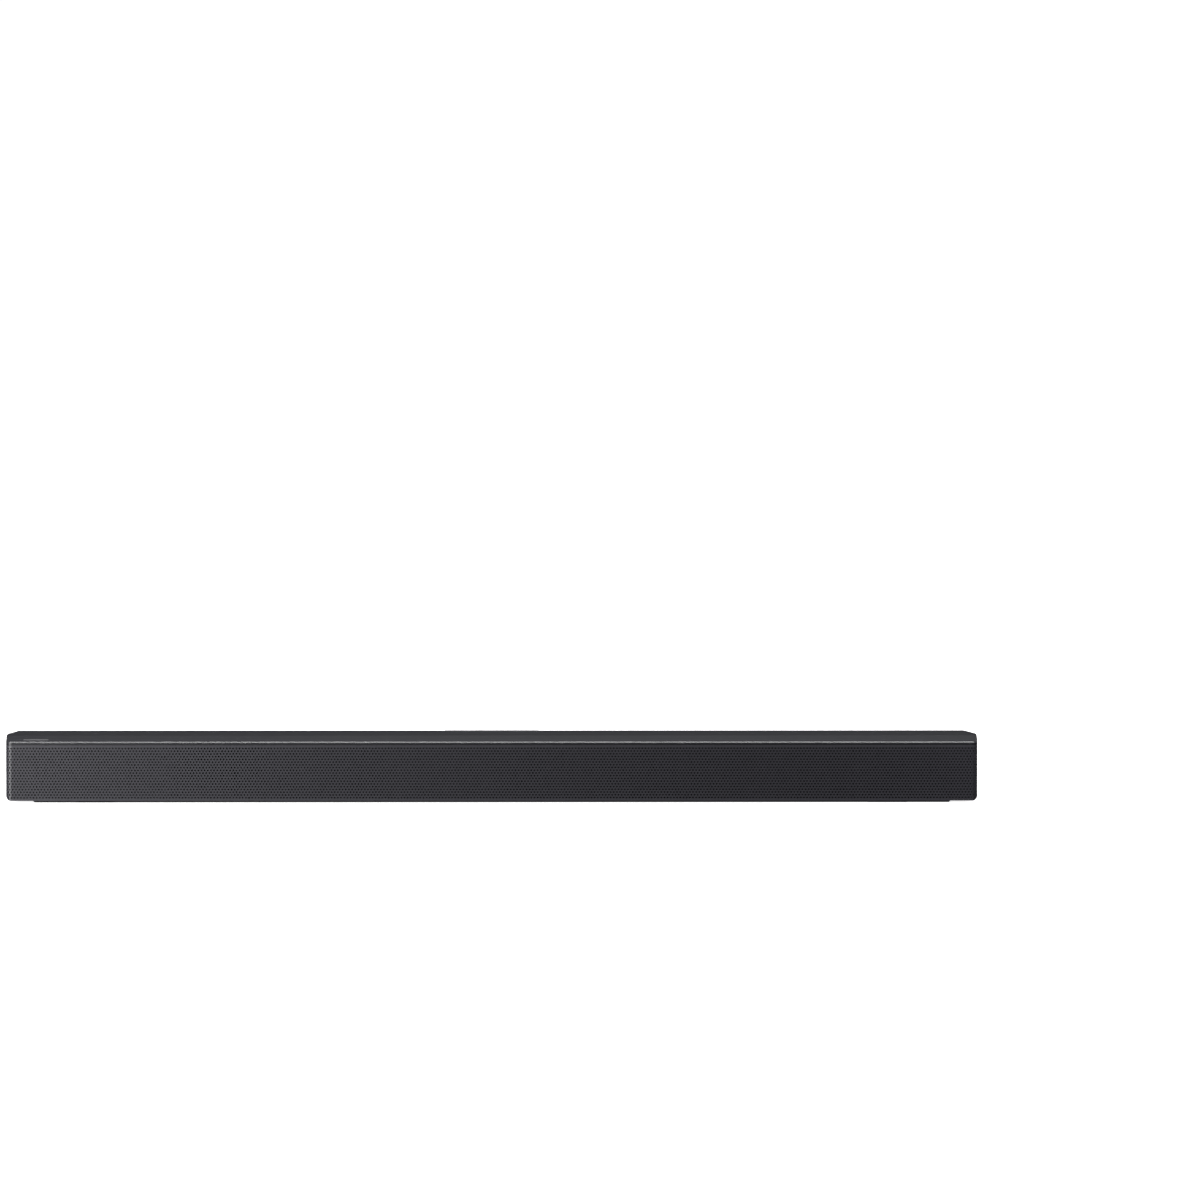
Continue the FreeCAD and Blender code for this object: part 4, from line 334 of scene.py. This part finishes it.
for part in frame["record"]["subparts"]:
    for place in frame["nodes"][part["node"]].material_slots:
        place.material = FINISHES[part["material_slot"]].material


# ---------------------------------------------------------------- building pieces


def add_piece(name, points, faces, body, slot):
    """A mesh piece that rides on a body and takes a slot's finish."""
    mesh = bpy.data.meshes.new(name)
    mesh.from_pydata([tuple(point) for point in points], [], faces)
    mesh.validate()
    mesh.update()
    piece = bpy.data.objects.new(name, mesh)
    scene.collection.objects.link(piece)
    mesh.materials.append(FINISHES[slot].material)
    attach(piece, body)
    return piece


def smooth(piece, degrees):
    """Smooth shading, with edges sharper than the angle left crisp."""
    piece.data.shade_smooth()
    piece.data.set_sharp_from_angle(angle=math.radians(degrees))


def thicken(faces, count):
    """Closes a sheet: its faces, the same turned over on points count further on, and its rims."""
    edges = {(face[k - 1], corner) for face in faces for k, corner in enumerate(face)}
    rear = [[corner + count for corner in reversed(face)] for face in faces]
    rims = [[b, a, a + count, b + count] for a, b in edges if (b, a) not in edges]
    return faces + rear + rims


# ---------------------------------------------------------------- perforated grille

CORNER = 5 * MM  # plan radius of the grille's front corners
END_ROUND = 4.5 * MM  # radius of the lower edge of each end
SHEET = 1 * MM  # sheet thickness
PITCH = 2.8 * MM  # between hole middles along a row
HOLE = 0.95 * MM  # middle of a hole to its corners
HOLE_ROWS = 19
HEM = 0.8 * MM  # least plain metal round the holes at the ends
KNIFE = 0.15 * MM  # sheet left at the thinnest part of the lower edge
SPARE_COLUMNS = 2  # columns past the sheet's ends, pulled back onto them
MERGE_DIGITS = 6  # corners that agree to this many decimals of a metre are one
LEAST_AREA = 1e-10  # of a face, doubled, in square metres
CREASE = 40  # degrees; sharper edges stay crisp


class GrilleSheet:
    """Folds a flat strip, measured by s along the bar and z up, round the front of the bar."""

    def __init__(self):
        low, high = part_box("grille_mesh")
        self.half, self.front = high.x, low.y
        self.bottom, self.top = low.z, high.z
        self.flat = self.half - CORNER
        self.bend = CORNER * math.pi / 2
        self.reach = self.flat + self.bend + high.y - self.front - CORNER

    def fold(self, s, z, depth):
        """Points in space for strip places s and z, the given depth under the outer face."""
        along = np.abs(s)
        turn = np.clip((along - self.flat) / CORNER, 0, math.pi / 2)
        past = np.maximum(along - self.flat - self.bend, 0)
        radius = CORNER - depth
        x = np.minimum(along, self.flat) + radius * np.sin(turn)
        y = self.front + CORNER - radius * np.cos(turn) + past
        rise = np.clip(END_ROUND - (z - self.bottom), 0, END_ROUND)
        limit = self.half - END_ROUND + np.sqrt(END_ROUND**2 - rise**2)
        return np.stack([np.sign(s) * np.minimum(x, limit), y, z], axis=-1)

    def lowest(self, s):
        """Height of the sheet's lower edge, which rises round the ends."""
        turn = np.clip((np.abs(s) - self.flat) / CORNER, 0, math.pi / 2)
        inner = np.minimum(np.abs(s), self.flat) + (CORNER - SHEET) * np.sin(turn)
        inset = np.clip(self.half - inner - KNIFE, 0, END_ROUND)
        return self.bottom + END_ROUND - np.sqrt(END_ROUND**2 - (END_ROUND - inset) ** 2)


def perforated_faces(sheet):
    """Strip places and faces of one side: staggered six-sided holes with a plain hem."""
    row_step = PITCH * math.sqrt(3) / 2
    columns = int(sheet.reach / PITCH) + SPARE_COLUMNS
    rows = HOLE_ROWS + 2  # one plain row along each long edge
    row, column = np.meshgrid(np.arange(rows), np.arange(2 * columns + 1), indexing="ij")
    stagger = (row % 2) * PITCH / 2
    hole_s = (column - columns) * PITCH + stagger
    middle = (sheet.bottom + sheet.top) / 2
    hole_z = middle + (row - (rows - 1) / 2) * row_step
    open_hole = (
        (row > 0)
        & (row < rows - 1)
        & (np.abs(hole_s) + HOLE + HEM < sheet.reach)
        & (hole_z - HOLE - HEM > sheet.lowest(hole_s))
    )
    # Corners of a cell: 0 upper right, 1 top, 2 upper left, 3 lower left, 4 bottom, 5 lower right.
    angle = np.radians(30 + 60 * np.arange(6))
    s = hole_s[..., None] + HOLE * np.cos(angle)
    z = hole_z[..., None] + HOLE * np.sin(angle)
    s = np.clip(s, -sheet.reach, sheet.reach)
    z[0] = sheet.bottom
    z[-1] = sheet.top
    z = np.clip(z, sheet.lowest(s), sheet.top)
    number = np.arange(s.size).reshape(s.shape)
    faces = [list(number[i, j]) for i, j in np.argwhere(~open_hole)]
    for i in range(rows):
        for j in range(2 * columns + 1):
            here = number[i, j]
            right = number[i, j + 1] if j < 2 * columns else None
            if right is not None:
                faces.append([here[5], right[3], right[2], here[0]])
            if i == rows - 1:
                continue
            up_left = j - 1 + i % 2
            left = number[i + 1, up_left] if up_left >= 0 else None
            up = number[i + 1, up_left + 1] if up_left < 2 * columns else None
            if up is not None:
                faces.append([here[0], up[4], up[3], here[1]])
            if left is not None:
                faces.append([here[1], left[5], left[4], here[2]])
            if left is not None and up is not None:
                faces.append([here[1], up[3], left[5]])
            if right is not None and up is not None:
                faces.append([here[0], right[2], up[4]])
    return s.ravel(), z.ravel(), faces


def make_grille():
    """The bent sheet: an outer and an inner skin, joined by the walls of the holes and the rim."""
    sheet = GrilleSheet()
    s, z, faces = perforated_faces(sheet)
    rounded = np.round(np.stack([s, z], axis=-1), MERGE_DIGITS)
    places, merged = np.unique(rounded, axis=0, return_inverse=True)
    merged = merged.ravel()
    skin = []
    for face in faces:
        ring = [int(merged[corner]) for corner in face]
        ring = [a for k, a in enumerate(ring) if a != ring[k - 1]]
        if len(set(ring)) < 3 or len(set(ring)) < len(ring):
            continue
        across = places[ring]
        ahead = np.roll(across, -1, axis=0)
        area = np.sum(across[:, 0] * ahead[:, 1] - ahead[:, 0] * across[:, 1])
        if abs(area) > LEAST_AREA:
            skin.append(ring)
    points = np.concatenate([sheet.fold(*places.T, 0.0), sheet.fold(*places.T, SHEET)])
    piece = add_piece("grille_skin", points, thicken(skin, len(places)), "bar", "mesh_metal")
    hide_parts("grille_mesh")
    smooth(piece, CREASE)


make_grille()


# ---------------------------------------------------------------- button icons

ICON_RISE = 0.05 * MM


def slab(outline, low, high):
    """Points and faces of an upright prism over a closed outline of (x, y)."""
    count = len(outline)
    points = [(x, y, z) for z in (low, high) for x, y in outline]
    sides = [[k, (k + 1) % count, (k + 1) % count + count, k + count] for k in range(count)]
    return points, [list(range(count))[::-1], list(range(count, 2 * count))] + sides


def capsule(start, end, radius, steps=10):
    """Outline of a stroke with round ends."""
    heading = math.atan2(end[1] - start[1], end[0] - start[0])
    outline = []
    for middle, offset in ((end, -math.pi / 2), (start, math.pi / 2)):
        for step in range(steps + 1):
            angle = heading + offset + math.pi * step / steps
            x = middle[0] + radius * math.cos(angle)
            outline.append((x, middle[1] + radius * math.sin(angle)))
    return outline


def arc_stroke(radius, width, start, end, steps=28):
    """Outline of part of a ring, angles in degrees, and width to each side of the radius."""
    turns = [math.radians(start + (end - start) * step / steps) for step in range(steps + 1)]
    outer = [(math.cos(t) * (radius + width), math.sin(t) * (radius + width)) for t in turns]
    inner = [(math.cos(t) * (radius - width), math.sin(t) * (radius - width)) for t in turns]
    return outer + inner[::-1]


STROKE = 0.16 * MM  # half the width of the minus and plus strokes
ARM = 0.95 * MM  # from a sign's middle to its ends, and the ring's radius
DOT_RADIUS = 0.3 * MM
DOT_HALF = 0.01 * MM  # half the straight part of a dot
DOT_PITCH = 1.2 * MM
THIN_STROKE = 0.14 * MM
RING_TURNS = (130, 410)  # degrees, open at the top
TICK = (0.35 * MM, 1.3 * MM)  # lower and upper end of the stroke in the ring's opening
ICONS = {
    "button_source": [
        capsule((x - DOT_HALF, 0), (x + DOT_HALF, 0), DOT_RADIUS)
        for x in (-DOT_PITCH, 0, DOT_PITCH)
    ],
    "button_volume_down": [capsule((-ARM, 0), (ARM, 0), STROKE)],
    "button_volume_up": [
        capsule((-ARM, 0), (ARM, 0), STROKE),
        capsule((0, STROKE), (0, ARM), STROKE),
        capsule((0, -ARM), (0, -STROKE), STROKE),
    ],
    "button_power": [
        arc_stroke(ARM, THIN_STROKE, *RING_TURNS),
        capsule((0, TICK[0]), (0, TICK[1]), THIN_STROKE),
    ],
}
for button, outlines in ICONS.items():
    low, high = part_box(button)
    middle = (low + high) / 2
    points, faces = [], []
    for outline in outlines:
        moved = [(middle.x + x, middle.y + y) for x, y in outline]
        more, rings = slab(moved, high.z - ICON_RISE / 2, high.z + ICON_RISE)
        faces += [[corner + len(points) for corner in ring] for ring in rings]
        points += more
    add_piece(button + "_icon", points, faces, button, "inlay_metal")


# ---------------------------------------------------------------- dust cloth

PILLOW_LENGTH = 41 * MM  # between the cloth's glue lines
PILLOW_DEPTH = 0.1 * MM
CLOTH_INSET = 0.05 * MM  # from the front of the cloth's room
CLOTH_THICKNESS = 0.2 * MM


def make_cloth():
    """Black acoustic cloth stretched behind the grille, slightly pillowed between glue lines."""
    low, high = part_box("dust_cloth")
    columns, rows = 220, 14
    sheet_x = np.linspace(low.x, high.x, columns + 1)
    sheet_z = np.linspace(low.z, high.z, rows + 1)
    x, z = np.meshgrid(sheet_x, sheet_z, indexing="ij")
    up = (z - low.z) / (high.z - low.z)
    wave = np.sin(x / PILLOW_LENGTH * math.pi) ** 2 * np.sin(up * math.pi)
    y = low.y + CLOTH_INSET + PILLOW_DEPTH * wave
    front = np.stack([x, y, z], axis=-1).reshape(-1, 3)
    back = front + np.array([0, CLOTH_THICKNESS, 0])
    width = rows + 1
    starts = [i * width + j for i in range(columns) for j in range(rows)]
    quads = [[a, a + width, a + width + 1, a + 1] for a in starts]
    points = np.concatenate([front, back])
    piece = add_piece("acoustic_cloth", points, thicken(quads, len(front)), "bar", "cloth")
    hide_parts("dust_cloth")
    smooth(piece, CREASE)


make_cloth()


# ---------------------------------------------------------------- studio

FLOOR_REACH = 70  # metres each way
FLOOR_GLOW = 0.93  # with the light that falls on it, just white


def make_floor():
    """A white floor that the camera sees and that throws no light on the bar."""
    finish = Finish("floor_white").set(
        Base_Color=(0.8, 0.8, 0.8, 1),
        Roughness=0.9,
        Specular_IOR_Level=0.0,
        Emission_Color=(1, 1, 1, 1),
        Emission_Strength=FLOOR_GLOW,
    )
    corners = ((-1, -1), (1, -1), (1, 1), (-1, 1))
    points = [(x * FLOOR_REACH, y * FLOOR_REACH, cad_low.z) for x, y in corners]
    mesh = bpy.data.meshes.new("studio_floor")
    mesh.from_pydata(points, [], [[0, 1, 2, 3]])
    mesh.materials.append(finish.material)
    floor = bpy.data.objects.new("studio_floor", mesh)
    scene.collection.objects.link(floor)
    floor.visible_diffuse = False
    floor.visible_glossy = False
    floor.visible_shadow = False


make_floor()

HORIZON_GLOW = 0.015  # strength of the sky at and below the horizon, and overhead
ZENITH_GLOW = 0.3
DARK_BELOW = 0.2  # sine of the elevation where the sky starts to brighten
SKY_COLOUR = (0.92, 0.94, 1.0, 1)


def make_sky():
    """A dim sky that brightens towards the top."""
    world = bpy.data.worlds.new("studio")
    scene.world = world
    world.use_nodes = True
    tree = world.node_tree
    ambient = tree.nodes["Background"]
    ambient.inputs["Color"].default_value = SKY_COLOUR
    direction = tree.nodes.new("ShaderNodeTexCoord")
    split = tree.nodes.new("ShaderNodeSeparateXYZ")
    rise = tree.nodes.new("ShaderNodeMapRange")
    rise.inputs["From Min"].default_value = DARK_BELOW
    rise.inputs["To Min"].default_value = HORIZON_GLOW
    rise.inputs["To Max"].default_value = ZENITH_GLOW
    tree.links.new(direction.outputs["Generated"], split.inputs[0])
    tree.links.new(split.outputs[2], rise.inputs["Value"])
    tree.links.new(rise.outputs[0], ambient.inputs["Strength"])


make_sky()


def softbox(name, place, target, width, height, power, glossy=True):
    """A soft rectangular lamp that the camera doesn't see; reflections see it when glossy."""
    light = bpy.data.lights.new(name, "AREA")
    light.shape = "RECTANGLE"
    light.size = width
    light.size_y = height
    light.energy = power
    lamp = bpy.data.objects.new(name, light)
    lamp.location = place
    lamp.rotation_mode = "QUATERNION"
    lamp.rotation_quaternion = (Vector(target) - Vector(place)).to_track_quat("-Z", "Y")
    lamp.visible_camera = False
    lamp.visible_glossy = glossy
    scene.collection.objects.link(lamp)


softbox("key_left", (-1.1, -1.0, 0.3), (-0.38, 0, 0.03), 0.3, 0.3, 33)
softbox("overhead_strip", (0.05, -0.39, 1.35), (0.05, 0, 0.05), 2.2, 0.12, 27)
softbox("edge_right", (0.62, -0.22, 0.12), (0.425, -0.03, 0.03), 0.08, 0.12, 0.6, glossy=False)
softbox("rear_fill", (0.4, 1.0, 1.6), (0, 0, 0.03), 1.4, 0.6, 4)
softbox("rear_wash", (-0.9, 1.5, 0.7), (-0.1, 0, 0.03), 1.2, 0.8, 27, glossy=False)
softbox("rear_wash", (0.9, 1.5, 0.7), (0.1, 0, 0.03), 1.2, 0.8, 18, glossy=False)


# ---------------------------------------------------------------- camera

SENSOR = 36  # millimetres
CAMERA_DISTANCE = 20
FRAME_WIDTH = 1.0598  # metres across the picture at the bar
SIGHT_DROP = math.radians(5.05)  # line of sight below the level at the bar
MIDDLE_HEIGHT = 0.029  # of the point on the bar's front that the camera is set up from
AIM_RIGHT = 0.0957  # from there to the middle of the picture, across and up
AIM_UP = 0.1506

camera = bpy.data.cameras.new("studio_camera")
camera.sensor_width = SENSOR
camera.lens = SENSOR * CAMERA_DISTANCE / FRAME_WIDTH
camera.clip_start = 1
camera.clip_end = 200  # past the far corners of the floor
viewer = bpy.data.objects.new("studio_camera", camera)
scene.collection.objects.link(viewer)
back = Vector((0, -math.cos(SIGHT_DROP), math.sin(SIGHT_DROP)))
up = Vector((0, math.sin(SIGHT_DROP), math.cos(SIGHT_DROP)))
middle = Vector((0, cad_low.y, MIDDLE_HEIGHT))
aim = middle + Vector((AIM_RIGHT, 0, 0)) + AIM_UP * up
viewer.location = middle + back * CAMERA_DISTANCE
viewer.rotation_mode = "QUATERNION"
viewer.rotation_quaternion = (aim - viewer.location).to_track_quat("-Z", "Y")
scene.camera = viewer
scene.view_settings.view_transform = "Standard"
